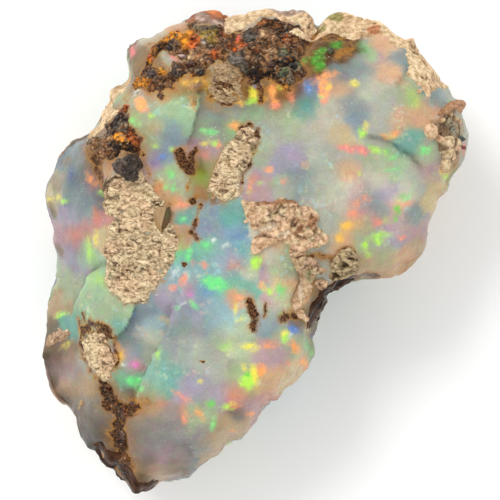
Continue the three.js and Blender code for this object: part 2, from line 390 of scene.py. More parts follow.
# Steps between the plates of the upper side. The plate to the left of each line's direction stands higher by
# `rise` millimetres, fading over `reach` millimetres behind the line.
STEPS = [
    dict(line=[(194, 87), (199, 96), (200, 105), (196, 118), (191, 137), (186, 150)], rise=-0.3, reach=2.2),
    dict(line=[(136, 302), (131, 318), (126, 328), (118, 335), (112, 343)], rise=-0.5, reach=1.8),
    dict(line=[(172, 300), (168, 325), (162, 338), (150, 362), (142, 378), (137, 392), (132, 405)],
         rise=0.6, reach=2.6),
    dict(line=[(104, 262), (95, 268), (86, 276), (82, 288), (72, 308), (66, 320)], rise=0.3, reach=1.6),
    dict(line=[(410, 60), (402, 76), (392, 88)], rise=-0.22, reach=1.0),
    dict(line=[(185, 440), (193, 455), (200, 461)], rise=0.2, reach=1.2),
    dict(line=[(188, 268), (184, 285), (178, 300), (172, 318)], rise=0.2, reach=0.8),
    dict(line=[(250, 205), (246, 222), (250, 240)], rise=0.15, reach=0.8),
    dict(line=[(207, 340), (236, 361)], rise=0.09, reach=0.14),
]

# Grooves and cracks: lines with a depth and a width in millimetres.
GROOVES = [
    dict(line=[(363, 137), (385, 141), (400, 150), (412, 158), (420, 168)], depth=0.22, width=0.16),
    dict(line=[(101, 384), (105, 400), (112, 420), (117, 440), (122, 462)], depth=0.55, width=0.5),
    dict(line=[(94, 150), (93, 168), (97, 188), (103, 205)], depth=0.5, width=0.45),
    dict(line=[(109, 262), (100, 266), (90, 272)], depth=0.12, width=0.2),
    dict(line=[(300, 262), (303, 285), (296, 300), (301, 318)], depth=0.35, width=0.3),
]

SIDE_CHIP = 2.6  # width of the chips that the sides and the back are broken into
SIDE_CHIP_DEPTH = 0.9
SECTORS = 360  # how many directions the stone's widest places are noted in
RIM_START = 0.75  # how far out, as a share of the widest place, points begin to be drawn to the outline
RIM_MARGIN = 0.03  # how far outside the outline the surface is drawn


def step_height(xy, line, rise, reach):
    """How far a step lifts or lowers the surface at each point."""
    away, side, along = away_from_line(xy, plan(line))
    behind = np.exp(-away / reach) * smoothstep(-0.09, 0.09, -side * away)
    return -rise * tapered(along, 0.15) * behind


def groove_depth(xy, line, depth, width):
    """How far a groove cuts into the surface at each point."""
    away, _, along = away_from_line(xy, plan(line))
    return depth * tapered(along, 0.1) * np.exp(-(away / width) ** 2)


def on_top(normals):
    """1 on the upper side and 0 on the sides and the back."""
    return smoothstep(0.05, 0.45, normals[:, 2])


def stone_relief(points, normals):
    """How far the stone's own surface stands out from the smooth solid."""
    xy = points[:, :2] + drift(points, 0.5, 3, 0.05)
    top = on_top(normals)
    steps = sum(step_height(xy, **s) for s in STEPS) - sum(groove_depth(xy, **g) for g in GROOVES)
    ripples = 0.05 * noise(points, 1.6, 5) + 0.02 * fractal(points, 0.6, 3, 6)
    first, second, _, _ = grains_of(points + 0.4 * noise(points, 1.8, 8)[:, None], SIDE_CHIP, 9)
    chipped = SIDE_CHIP_DEPTH * (first ** 2 - 0.35) + 0.1 * fractal(points, 1.0, 4, 10)
    chipped -= 0.12 * smoothstep(0.1, 0.0, second - first)
    return top * (steps + ripples) + (1 - top) * chipped


class Rim:
    """Draws points near the stone's edge to the outline seen from above."""

    def __init__(self, points):
        """Notes how wide the stone is in each direction and how wide the outline is there."""
        angle, radius = self.polar(points)
        sector = np.floor((angle / math.pi + 1) * SECTORS / 2).astype(int) % SECTORS
        self.widest = np.zeros(SECTORS)
        np.maximum.at(self.widest, sector, radius)
        self.middles = (np.arange(SECTORS) + 0.5) / SECTORS * 2 * math.pi - math.pi
        angles, radii = self.polar(smooth_closed(plan(OUTLINE)))
        order = np.argsort(angles)
        self.angles, self.radii = angles[order], radii[order] + RIM_MARGIN

    def polar(self, points):
        """Points' directions from the hub in plan, and their distances to it."""
        reach = points[:, :2] - HUB
        return np.arctan2(reach[:, 1], reach[:, 0]), np.linalg.norm(reach, axis=1)

    def fit(self, points):
        """Points moved towards the outline, the more the nearer they are to the edge."""
        angle, radius = self.polar(points)
        now = np.interp(angle, self.middles, self.widest, period=2 * math.pi)
        wanted = np.interp(angle, self.angles, self.radii, period=2 * math.pi)
        pull = 1 + (wanted / now - 1) * smoothstep(RIM_START, 1.0, radius / now)
        fitted = points.copy()
        fitted[:, :2] = HUB + (points[:, :2] - HUB) * pull[:, None]
        return fitted


# ---------------------------------------------------------------- where rock and iron cover the stone


@dataclass
class Patch:
    """A patch of rock, iron or dark glass: inside an outline in pixels, or round a place in millimetres."""
    name: str
    kind: str  # one of KINDS
    thick: float  # how far it stands out of the stone
    edge: float  # width of its sloping edge
    slot: str = "host_rock"
    outline: tuple = ()
    hole: tuple = ()  # the outline of a part that it leaves bare
    middle: tuple = ()  # the place that it lies round, where it has no outline
    radius: float = 0.0
    tint: tuple = ()  # a colour that its own colours are moved towards
    halo: tuple = ()  # how strongly and how far iron stains the opal round it


PATCHES = [
    Patch("tuff_left", "tuff", 0.16, 0.3, halo=(0.3, 0.12), outline=[(98, 192), (100, 202), (104, 213),
        (110, 219), (108, 228), (106, 240), (104, 250), (105, 262), (105, 283), (109, 290), (115, 297),
        (122, 302), (132, 305), (141, 305), (147, 302), (153, 295), (160, 288), (167, 280), (172, 270),
        (177, 260), (180, 250), (181, 240), (178, 232), (174, 225), (171, 212), (167, 206), (163, 200),
        (158, 192), (152, 183), (146, 176), (138, 170), (122, 168), (108, 176)]),
    Patch("tuff_middle", "tuff", 0.12, 0.22, halo=(0.45, 0.15), outline=[(240, 128), (250, 126), (256, 130),
        (258, 138), (253, 148), (252, 158), (249, 166), (243, 175), (241, 183), (241, 192), (238, 197),
        (230, 201), (222, 203), (216, 200), (213, 194), (207, 192), (209, 183), (212, 173), (215, 165),
        (219, 155), (226, 148), (232, 138)]),
    Patch("crystals_middle", "crumbly", 0.25, 0.2, outline=[(241, 199), (252, 202), (262, 200), (275, 200),
        (285, 199), (295, 201), (303, 206), (312, 208), (318, 214), (320, 220), (317, 226), (323, 230),
        (328, 237), (322, 245), (305, 253), (293, 260), (287, 252), (289, 245), (285, 241), (277, 239),
        (268, 236), (260, 232), (251, 227), (246, 218), (242, 209)]),
    Patch("tuff_low", "tuff", 0.12, 0.2, halo=(0.7, 0.15), outline=[(92, 331), (100, 329), (107, 333),
        (108, 345), (111, 352), (115, 360), (113, 367), (109, 372), (108, 379), (103, 383), (98, 380),
        (93, 372), (87, 366), (83, 358), (82, 350), (82, 342), (86, 336)]),
    Patch("knob", "gills", 0.6, 0.45, halo=(0.5, 0.2), outline=[(330, 262), (336, 252), (345, 247),
        (353, 249), (358, 256), (360, 265), (358, 272), (352, 277), (343, 281), (336, 282), (330, 277)]),
    Patch("terrace", "smooth", 0.14, 0.25, tint=rgb(238, 208, 178), halo=(0.4, 0.2), outline=[(294, 262),
        (302, 258), (312, 262), (318, 270), (315, 280), (317, 288), (312, 293), (307, 299), (303, 306),
        (307, 314), (309, 324), (302, 323), (296, 314), (293, 304), (295, 292), (299, 278)]),
    Patch("fragments", "crumbly", 0.3, 0.15, outline=[(293, 258), (302, 254), (311, 258), (319, 264),
        (325, 270), (320, 274), (313, 270), (306, 264), (301, 268), (297, 272), (293, 266)]),
    Patch("fragment_low", "crumbly", 0.25, 0.15, outline=[(316, 282), (322, 278), (329, 282), (329, 288),
        (322, 290), (317, 287)]),
    Patch("flake", "smooth", 0.2, 0.12, tint=FLESH, outline=[(251, 241), (255, 236), (262, 233), (270, 237),
        (276, 239), (275, 245), (268, 248), (261, 253), (253, 253)]),
    Patch("clast", "lump", 0.55, 0.4, slot="ironstone", outline=[(113, 167), (117, 159), (126, 157),
        (132, 155), (139, 158), (142, 166), (139, 172), (140, 179), (135, 184), (124, 183), (119, 176)]),
    Patch("crumbs_left", "crumbly", 0.04, 0.2, tint=rgb(186, 158, 134), outline=[(45, 334), (50, 328),
        (58, 326), (64, 331), (69, 333), (64, 339), (56, 343), (50, 349), (45, 346)]),
    Patch("crumbs_low", "crumbly", 0.04, 0.2, tint=rgb(180, 150, 112), outline=[(76, 402), (81, 399),
        (84, 406), (82, 413), (76, 414)]),
    Patch("dome", "glass", 0.08, 0.2, tint=rgb(158, 104, 78), outline=[(183, 22), (188, 10), (200, 2),
        (215, 2), (228, 8), (226, 20), (218, 24), (206, 24), (196, 23)]),
    Patch("rim_top", "smooth", 0.1, 0.3, outline=[(226, 5), (260, 2), (300, 3), (322, 20), (318, 30),
        (312, 36), (304, 34), (296, 27), (288, 23), (272, 21), (262, 23), (250, 30), (236, 32), (224, 31),
        (222, 20)]),
    Patch("rim_right", "smooth", 0.12, 0.3, outline=[(318, 30), (325, 12), (345, 5), (372, 12), (402, 32),
        (425, 50), (447, 76), (452, 90), (442, 88), (433, 98), (428, 100), (420, 88), (404, 76), (407, 62),
        (395, 50), (385, 38), (365, 38), (358, 42), (348, 39), (336, 36), (325, 38), (313, 40)]),
    Patch("lens", "smooth", 0.3, 0.2, outline=[(283, 37), (291, 30), (298, 32), (306, 37), (316, 37),
        (310, 42), (300, 44), (290, 41)]),
    Patch("rim_left", "smooth", 0.1, 0.25, outline=[(126, 84), (124, 91), (118, 98), (112, 103), (119, 108),
        (119, 115), (111, 124), (104, 131), (98, 137), (90, 141), (84, 136), (94, 124), (102, 112),
        (106, 100), (108, 88), (116, 80)]),
    Patch("tan_top", "tuff", 0.03, 0.3, tint=rgb(176, 146, 108), halo=(0.6, 0.2), outline=[(209, 78),
        (214, 68), (224, 61), (236, 64), (244, 75), (244, 88), (247, 97), (240, 104), (228, 106),
        (216, 102), (208, 95), (206, 88)]),
    Patch("iron_main", "iron", 0.2, 0.3, slot="ironstone", halo=(0.75, 0.18), outline=[(133, 85), (138, 77),
        (145, 71), (145, 62), (147, 54), (151, 46), (153, 42), (162, 41), (170, 37), (178, 32), (185, 30),
        (188, 23), (195, 22), (205, 23), (221, 23), (224, 31), (236, 32), (250, 30), (257, 27), (264, 22),
        (272, 21), (288, 23), (296, 27), (304, 34), (312, 38), (310, 46), (307, 52), (300, 55), (303, 66),
        (306, 74), (300, 80), (290, 84), (284, 90), (278, 86), (270, 82), (262, 80), (255, 83), (247, 80),
        (240, 73), (232, 66), (224, 62), (212, 67), (206, 72), (201, 77), (190, 79), (180, 82), (174, 85),
        (168, 89), (152, 91), (142, 89)], hole=[
        (152, 66), (155, 58), (160, 53), (170, 52), (178, 57), (184, 59), (178, 63), (170, 68), (162, 66),
        (154, 70)]),
    Patch("iron_left", "iron", 0.15, 0.25, slot="ironstone", halo=(0.85, 0.2), outline=[(108, 134),
        (108, 127), (113, 120), (119, 112), (122, 104), (127, 106), (128, 118), (130, 128), (138, 134),
        (141, 146), (142, 154), (136, 156), (124, 155), (114, 160), (102, 158), (92, 158), (88, 146),
        (92, 141), (100, 140)]),
    Patch("iron_low", "iron", 0.14, 0.2, slot="ironstone", halo=(0.8, 0.2), outline=[(100, 385), (108, 384),
        (112, 396), (120, 401), (134, 402), (144, 400), (140, 408), (128, 414), (124, 426), (126, 440),
        (126, 456), (132, 470), (128, 480), (120, 470), (116, 452), (112, 436), (109, 420), (103, 404)]),
    Patch("glass_low", "glass", 0.03, 0.15, slot="ironstone", outline=[(91, 449), (98, 446), (107, 450),
        (115, 455), (122, 463), (130, 469), (138, 475), (147, 479), (157, 481), (160, 492), (140, 502),
        (124, 496), (108, 480), (94, 466)]),
    # A sheet of dark glass laid as painted shade under the knob and in the notch's recess.
    Patch("glass_inlet", "glass", 0.04, 0.2, slot="ironstone", outline=[(322, 289), (328, 285), (337, 282),
        (346, 278), (355, 276), (364, 279), (362, 288), (344, 296), (334, 302), (325, 314), (318, 334),
        (312, 336), (308, 322), (309, 308), (314, 297)]),
    Patch("recess_right", "smooth", 0.02, 0.2, tint=rgb(104, 84, 68), halo=(0.5, 0.2), outline=[(430, 126),
        (436, 118), (442, 110), (452, 108), (459, 116), (463, 126), (461, 138), (458, 152), (454, 168),
        (448, 172), (444, 160), (440, 146), (436, 136)]),
    Patch("ball_right", "smooth", 0.45, 0.35, tint=FLESH, outline=[(421, 132), (423, 126), (429, 123),
        (435, 126), (436, 134), (433, 140), (426, 140)]),
    Patch("lumps_right", "nodules", 0.35, 0.2, outline=[(434, 136), (441, 137), (449, 136), (455, 139),
        (458, 149), (456, 160), (451, 170), (446, 168), (443, 158), (437, 148)]),
    Patch("tip_right", "smooth", 0.12, 0.15, tint=rgb(176, 120, 84), outline=[(436, 116), (444, 106),
        (450, 100), (460, 98), (468, 104), (462, 114), (452, 112), (444, 116)]),
]

# Patches on the sides and the back.
FAR_PATCHES = [
    Patch("rock_back", "tuff", 0.12, 0.35, middle=(-4.5, 6.5, 1.0), radius=4.2),
    Patch("rock_side", "smooth", 0.1, 0.35, middle=(8.5, 3.5, 2.5), radius=3.4),
    Patch("iron_back", "iron", 0.12, 0.35, slot="ironstone", middle=(-2.0, -6.0, 0.5), radius=3.2),
    Patch("iron_side", "iron", 0.12, 0.35, slot="ironstone", middle=(-2.5, 12.5, 2.2), radius=2.5),
]


def depth_in(patch, points):
    """How far each point is inside a patch, negative outside it."""
    seed = len(patch.name)
    ragged = 0.3 if patch.kind == "iron" else 0.13
    wobble = ragged * fractal(points, 0.6, 3, seed)
    if patch.middle:
        away = np.linalg.norm(points - patch.middle, axis=1)
        return patch.radius - away + 0.9 * noise(points, 2.2, seed) + wobble
    depth = depth_inside(points[:, :2], smooth_closed(plan(patch.outline)))
    if patch.hole:
        depth = np.minimum(depth, -depth_inside(points[:, :2], smooth_closed(plan(patch.hole))))
    return depth + wobble


# ---------------------------------------------------------------- the stone's colours

# Soft spots of the milky body's colours, each (u, v, radius) in the photograph's pixels.
MILK = [
    (SLATE, [(400, 58, 7), (406, 68, 6), (62, 172, 18), (74, 160, 12), (85, 205, 10), (72, 192, 12),
        (140, 345, 10), (180, 330, 12), (205, 327, 14), (180, 350, 10), (215, 112, 12), (230, 108, 12),
        (350, 105, 12), (346, 75, 12), (362, 70, 12), (430, 95, 8), (375, 200, 10), (415, 215, 8),
        (95, 425, 12), (84, 408, 9), (92, 440, 8), (200, 455, 10), (300, 182, 12)]),
    (DUSK, [(80, 150, 8), (214, 218, 12), (213, 232, 12), (170, 135, 10), (140, 320, 10), (190, 312, 10),
        (268, 326, 9), (355, 118, 8), (165, 156, 6), (222, 104, 6), (307, 92, 8)]),
    (SKY, [(235, 230, 12), (246, 242, 10), (221, 258, 16), (198, 288, 14), (212, 303, 12), (226, 321, 12),
        (250, 256, 8), (155, 328, 8), (188, 272, 8)]),
    (TEAL, [(121, 323, 7), (196, 254, 8), (240, 281, 12), (170, 368, 12), (156, 385, 10), (130, 367, 8),
        (229, 216, 8), (304, 108, 10), (408, 141, 9), (72, 326, 8), (186, 215, 6)]),
    (MINT, [(160, 119, 14), (176, 108, 12), (187, 100, 10), (190, 126, 8), (88, 310, 14), (100, 286, 10),
        (125, 314, 8), (85, 256, 8), (255, 108, 8), (400, 172, 8), (126, 90, 8)]),
    (SAGE, [(150, 108, 10), (150, 131, 10), (166, 180, 10), (180, 190, 10), (75, 290, 12), (110, 311, 12),
        (206, 126, 10), (235, 120, 10), (270, 116, 14), (290, 126, 12), (240, 336, 12), (226, 336, 10),
        (281, 335, 8), (286, 252, 8), (280, 270, 8), (385, 256, 10), (360, 236, 10), (150, 394, 8),
        (152, 356, 8), (265, 150, 8), (400, 95, 10), (300, 345, 10), (235, 366, 10), (58, 275, 10),
        (205, 405, 10), (425, 156, 8), (196, 420, 8), (384, 166, 12)]),
    (MIST, [(200, 350, 16), (216, 371, 18), (185, 350, 12), (310, 150, 14), (335, 165, 12), (320, 186, 16),
        (380, 120, 14), (385, 100, 12), (270, 135, 12), (410, 186, 12), (85, 370, 10), (143, 95, 10),
        (330, 222, 12), (270, 312, 8), (285, 190, 8), (252, 130, 6)]),
    (PEARL, [(262, 238, 8), (272, 258, 8), (285, 300, 8), (250, 272, 6), (380, 178, 9), (404, 196, 8),
        (160, 36, 7), (330, 116, 16), (338, 200, 16), (370, 88, 12), (312, 131, 12), (150, 337, 8),
        (225, 352, 6)]),
    (LILAC, [(68, 216, 10), (70, 260, 12), (155, 162, 7), (195, 311, 10), (234, 264, 10), (280, 155, 12),
        (175, 310, 10), (130, 360, 8), (385, 190, 10), (390, 236, 10), (196, 386, 12), (214, 395, 10),
        (298, 158, 8)]),
    (MAUVE, [(60, 236, 12), (97, 184, 7), (60, 371, 12), (200, 150, 10), (150, 170, 8), (265, 190, 7),
        (270, 300, 5), (265, 272, 5), (270, 350, 12), (360, 201, 12), (400, 226, 12), (425, 231, 8),
        (250, 406, 10), (165, 462, 12), (430, 171, 10), (375, 60, 8)]),
    (ROSE, [(81, 236, 12), (240, 396, 10), (265, 400, 8), (98, 222, 6)]),
    (PEACH, [(343, 170, 8), (258, 262, 7), (280, 246, 7), (284, 282, 6), (296, 300, 6), (352, 226, 9),
        (170, 30, 6), (98, 165, 6), (175, 203, 8), (160, 195, 6), (341, 90, 9), (400, 118, 12),
        (420, 112, 10), (385, 75, 10), (345, 240, 8), (395, 266, 12), (60, 391, 8), (150, 409, 8),
        (235, 300, 7), (385, 45, 8), (270, 381, 10), (183, 236, 6), (407, 258, 8)]),
    (SAND, [(50, 200, 8), (52, 181, 8), (100, 236, 6), (440, 185, 10), (430, 204, 8), (290, 300, 6),
        (312, 330, 6), (300, 362, 6), (340, 136, 8), (155, 128, 6)]),
    (TAN, [(50, 300, 8), (75, 386, 12), (225, 431, 12), (216, 446, 10), (240, 425, 10), (375, 266, 10),
        (420, 246, 8), (286, 386, 8), (160, 475, 10), (206, 460, 6)]),
    (CLAY, [(55, 350, 10), (80, 411, 10), (185, 236, 5), (445, 195, 6), (412, 262, 8), (62, 360, 8)]),
    (ASH, [(160, 420, 12), (176, 431, 14), (150, 441, 12), (186, 450, 12), (146, 425, 10), (205, 432, 8)]),
    (SMOKE, [(85, 431, 10), (100, 452, 12), (88, 146, 6), (125, 395, 6), (130, 88, 6), (240, 412, 6)]),
    (MOSS, [(205, 165, 8), (197, 181, 6), (450, 176, 6), (215, 104, 5), (185, 97, 6), (225, 112, 6),
        (205, 190, 6)]),
    # Of the SHADE spots, the three at the notch's recess are painted shade.
    (SHADE, [(48, 335, 8), (60, 352, 8), (50, 372, 9), (60, 396, 8), (84, 442, 8), (150, 470, 9),
        (172, 470, 8), (54, 250, 5), (49, 208, 5), (52, 182, 5), (62, 158, 5), (143, 62, 7), (143, 74, 6),
        (304, 320, 7), (318, 300, 8), (314, 318, 6), (103, 120, 8)]),
    (UMBER, [(312, 47, 6), (322, 43, 5), (332, 40, 5), (346, 50, 7), (339, 57, 6), (309, 62, 5),
        (311, 71, 5), (300, 88, 5), (328, 60, 4), (290, 92, 4)]),
    (BARK, [(44, 358, 6), (50, 384, 5), (58, 400, 5), (76, 428, 4), (94, 452, 6), (106, 464, 7),
        (118, 476, 8), (130, 486, 8), (146, 486, 6), (110, 440, 6), (255, 92, 7), (242, 88, 5),
        (284, 93, 6), (200, 172, 5), (98, 160, 6), (200, 84, 5)]),
    (OCHRE, [(178, 91, 6), (164, 94, 6), (150, 92, 5), (190, 88, 5), (216, 106, 5), (160, 190, 5),
        (170, 202, 5), (200, 190, 5), (128, 92, 5), (262, 100, 5)]),
]

# Soft glows in the milk, each (u, v, half length, half width) and a turn in degrees where it is turned.
GLOWS = [
    (GREEN, [(180, 250, 6, 12), (206, 246, 9, 7), (216, 284, 18, 11, -10), (172, 175, 7, 6),
        (365, 48, 8, 6), (372, 58, 6, 7), (386, 154, 4, 3), (120, 377, 7, 7), (309, 349, 6, 5),
        (281, 290, 8, 9), (131, 377, 9, 8), (276, 184, 5, 4), (233, 132, 6, 4), (128, 116, 10, 6)]),
    (LIME, [(413, 99, 9, 8), (202, 177, 8, 9), (256, 263, 9, 10), (100, 280, 8, 8), (88, 250, 5, 13),
        (385, 220, 6, 5), (228, 343, 6, 5), (380, 236, 9, 7), (248, 381, 12, 14)]),
    (GOLD, [(347, 228, 9, 7), (235, 127, 7, 5), (157, 352, 6, 5), (215, 70, 5, 5), (338, 238, 7, 6),
        (122, 356, 6, 9), (207, 84, 8, 8), (161, 322, 6, 6)]),
    (SALMON, [(205, 155, 7, 5), (180, 206, 10, 6), (184, 405, 6, 12, -10), (254, 180, 6, 9),
        (236, 266, 8, 6), (240, 296, 9, 6), (353, 212, 9, 7), (402, 86, 9, 6), (163, 401, 9, 6),
        (72, 235, 9, 8), (97, 215, 5, 12), (269, 344, 11, 5), (303, 365, 7, 5), (276, 104, 9, 8),
        (290, 97, 5, 9), (396, 205, 10, 6), (232, 398, 12, 9), (160, 190, 6, 12, -60)]),
    (PINK, [(352, 149, 9, 4, -10), (135, 363, 6, 6), (191, 288, 8, 12), (131, 49, 6, 8), (376, 222, 8, 6)]),
    (VIOLET, [(155, 163, 6, 6), (262, 270, 6, 8), (320, 92, 6, 10), (293, 328, 8, 7)]),
    (BLUE, [(309, 90, 9, 12), (163, 157, 6, 4), (222, 103, 6, 5), (293, 329, 7, 7), (238, 236, 12, 10),
        (205, 290, 14, 12), (70, 175, 6, 10)]),
    (AQUA, [(304, 106, 8, 10), (119, 381, 8, 7), (228, 222, 9, 9), (243, 250, 7, 7)]),
]

# Darker and lighter places: what their red, green and blue are multiplied by, and their ellipses. The places
# under the knob and in the notch's recess are painted shade.
SHADES = [
    ((0.53, 0.54, 0.56), [(88, 428, 66, 20, -52), (50, 355, 12, 40)]),
    ((0.82, 0.83, 0.88), [(158, 444, 50, 26, -8)]),
    # its last ellipse is painted shade in the notch's recess
    ((0.5, 0.44, 0.4), [(104, 440, 10, 26, 15), (66, 404, 26, 6, -48), (318, 308, 10, 26, -12)]),
    ((0.6, 0.65, 0.72), [(84, 178, 22, 26), (106, 440, 44, 30, 30)]),
    ((0.8, 0.8, 0.84), [(78, 176, 20, 16), (125, 455, 24, 14), (100, 205, 8, 20), (76, 372, 24, 16)]),
    ((1.3, 1.3, 1.25), [(290, 385, 20, 20), (304, 300, 10, 16), (240, 350, 22, 10), (445, 195, 14, 20)]),
    ((0.7, 0.6, 0.62), [(275, 105, 40, 10), (245, 100, 20, 12), (196, 196, 12, 14)]),
    ((1.35, 1.3, 1.25), [(396, 200, 24, 34), (356, 186, 24, 18), (276, 290, 26, 20), (240, 324, 26, 14),
        (150, 338, 14, 26, -20)]),
    # its third ellipse is painted shade under the knob
    ((0.24, 0.15, 0.09), [(117, 471, 34, 12, -44), (138, 488, 18, 8, 8), (350, 286, 36, 7, 12),
        (328, 46, 26, 10, 4)]),
    ((0.74, 0.76, 0.8), [(72, 230, 22, 64), (80, 330, 34, 40), (215, 128, 60, 24), (330, 76, 34, 16)]),
    ((0.6, 0.5, 0.4), [(262, 88, 50, 14), (328, 52, 30, 18), (200, 168, 8, 22, 15), (200, 92, 34, 8),
        (316, 258, 20, 6), (112, 146, 14, 18)]),
]

# Flashes with a clear edge, and white painted glints: their colours and their ellipses.
FLASHES = [
    (GREEN, [(211, 133, 5, 2.5), (203, 132, 4, 2.5, 20), (189, 254, 6.5, 3.2, 75), (215, 283, 13, 7, -15),
        (194, 305, 4.5, 2.5, -40), (178, 306, 2.5, 2), (131, 378, 4.5, 4), (138, 377, 3, 2.6),
        (141, 389, 3, 2.6), (183, 220, 2.8, 2), (166, 188, 3, 2, 60), (174, 189, 3, 2, 90),
        (137, 124, 3, 2), (425, 151, 6, 3.5, 20), (407, 198, 5, 1.5, 60), (389, 170, 5, 1.1, 10),
        (213, 423, 5, 2.2, 80), (281, 314, 2, 1.6), (172, 176, 3, 2.4, 30), (206, 245, 4, 3),
        (453, 101, 3, 1.5), (392, 158, 4, 2, 30), (130, 120, 6, 2, -20), (281, 289, 3.5, 4)]),
    (AMBER, [(194, 104, 2.4, 5, 5), (118, 345, 1.6, 6, 20), (205, 82, 2, 4, 20)]),
    (FERN, [(318, 62, 6.5, 10, 5), (304, 61, 5, 3.6), (337, 45, 6, 3.4, 15), (322, 51, 5, 3.4, 20)]),
    (LEAF, [(319, 58, 3.5, 5), (403, 196, 3, 2), (397, 210, 3.6, 5, 10), (395, 219, 2.4, 3),
        (247, 376, 4, 5), (212, 403, 4.5, 4)]),
    (LIME, [(152, 117, 2.5, 1.6), (64, 201, 3, 2.2), (97, 193, 1.5, 2), (214, 144.5, 3, 2),
        (361, 134, 4, 6), (375, 151, 8, 3, -20), (364, 246, 4, 4), (369, 255, 3.5, 2.8),
        (379, 235, 9, 2.8, 8), (378, 241, 4, 4), (247, 381, 8, 8, 60), (227, 407, 5, 2.6, 10),
        (59, 315, 4, 2.2, 10), (269, 291, 4, 3), (256, 263, 5, 6), (447, 177, 4, 2.2), (359, 174, 2, 1.6),
        (156, 147, 2.5, 2), (172, 150, 2, 1.5), (87, 250, 6, 1.4, 85), (254, 101, 5.5, 4, 30),
        (125, 137, 3.5, 2.4), (260, 183, 2, 1.4), (159, 353, 5, 1.5, 85), (285, 337, 3.5, 5)]),
    (YELLOW, [(49, 198, 2, 1.5), (205, 144, 2, 1.4), (253, 96, 4, 6.5, 10), (250, 193, 1.8, 1.4),
        (353, 84, 4, 3), (365, 127, 2.3, 4), (255, 375, 5.5, 10, 10), (250, 346, 8.5, 3.6, -8),
        (285, 334, 3.6, 4.5), (235, 310, 2, 5), (241, 319, 4, 1.8, 40), (201, 381, 2, 1.5),
        (65, 345, 4, 1.6, 40), (97, 239, 1.5, 4.5), (399, 203, 2, 2), (442, 171, 3, 2.4), (322, 97, 4, 4),
        (58, 197, 1.8, 1.3), (209, 89, 3, 4.5, -20), (280, 89, 2.4, 2.4), (233, 403, 3, 1.6),
        (263, 284, 2.4, 2.6), (244, 366, 2.5, 4, 20)]),
    (GOLD, [(239, 103, 5, 3, -20), (346, 226, 6, 3.6, 20), (339, 238, 3.4, 4.4), (263, 287, 3, 3),
        (122, 356, 3, 6), (187, 83, 5, 2, -5), (197, 81, 3.5, 2.4, 40), (263, 100, 2.4, 1.6),
        (326, 88, 4.5, 4), (444, 171, 6, 3.4, -15), (390, 137, 5, 2.6), (235, 126, 3, 2)]),
    (ORANGE, [(142, 105, 9, 5.5, -55), (88.7, 179, 5, 1.8, -70), (218.5, 145, 3, 2.3), (235, 127, 5, 3, 15),
        (250, 186, 1.6, 5), (325, 77, 10, 3.2, 20), (323, 90, 12, 5, 85), (272, 92, 4.5, 6.5),
        (268, 170, 4.5, 3.6), (393, 136, 5, 2.4, 20), (356, 204, 3, 2.2), (261, 370, 7, 5.5, 40),
        (295, 347, 6.5, 4.6, -50), (200, 414, 5.5, 2.6, -45), (251, 414, 4.5, 2.3), (233, 431, 2, 1.6),
        (236, 405, 4, 2), (262, 285, 3.6, 4), (305, 165, 3, 2), (384, 137, 4, 2, -10), (274, 103, 3, 5, 40),
        (267, 346, 6, 1.6, 5), (305, 364, 4, 2.4)]),
    (SALMON, [(146, 111, 4, 3), (283.6, 181.4, 3, 2.8), (402, 238, 3.6, 2.2), (378, 223, 4, 2.6),
        (404, 204, 7, 2.4, 10), (365, 198, 3.5, 2.4), (205, 265, 3.5, 3.4), (183, 280, 7, 3, 60),
        (173, 288, 4, 2.8), (185, 417, 3.3, 6), (182, 395, 9, 2, -33), (324, 101, 5, 4), (276, 106, 5, 4),
        (291, 97, 2.6, 6), (184, 206, 6, 2.4), (352, 213, 4, 3), (240, 297, 4, 2.4)]),
    (RED, [(289, 363, 2, 1.5), (238, 41, 2.4, 2), (464, 148, 2, 4.5)]),
    (PINK, [(345, 149, 8, 3, -15), (361, 151, 7, 4.8, -15), (131, 51, 3, 4), (174, 57, 5, 2.4, -40),
        (193, 263, 2, 2)]),
    (MAGENTA, [(190.6, 294.8, 4, 2.6, -20), (135, 363, 4.5, 3)]),
    (BLUE, [(163, 157, 3, 1.8, 20), (293, 330, 4, 3.2), (135, 317, 1.6, 1.4), (254, 86, 3.4, 2.4),
        (307, 88, 3, 6, 20)]),
    # Painted glints: small white highlights.
    (GLINT_WHITE, [(138, 91, 3.5, 1.2, 30), (227, 245, 2, 0.9, 20), (213, 240, 1.4, 0.9), (176, 272, 3, 0.9, -40),
        (179, 269, 1.4, 0.9), (123, 364, 1.6, 1), (290, 335, 1.2, 1), (185, 57, 4, 1.6, -10),
        (173, 277, 1.8, 0.8, 30), (183, 303, 1.6, 1)]),
]
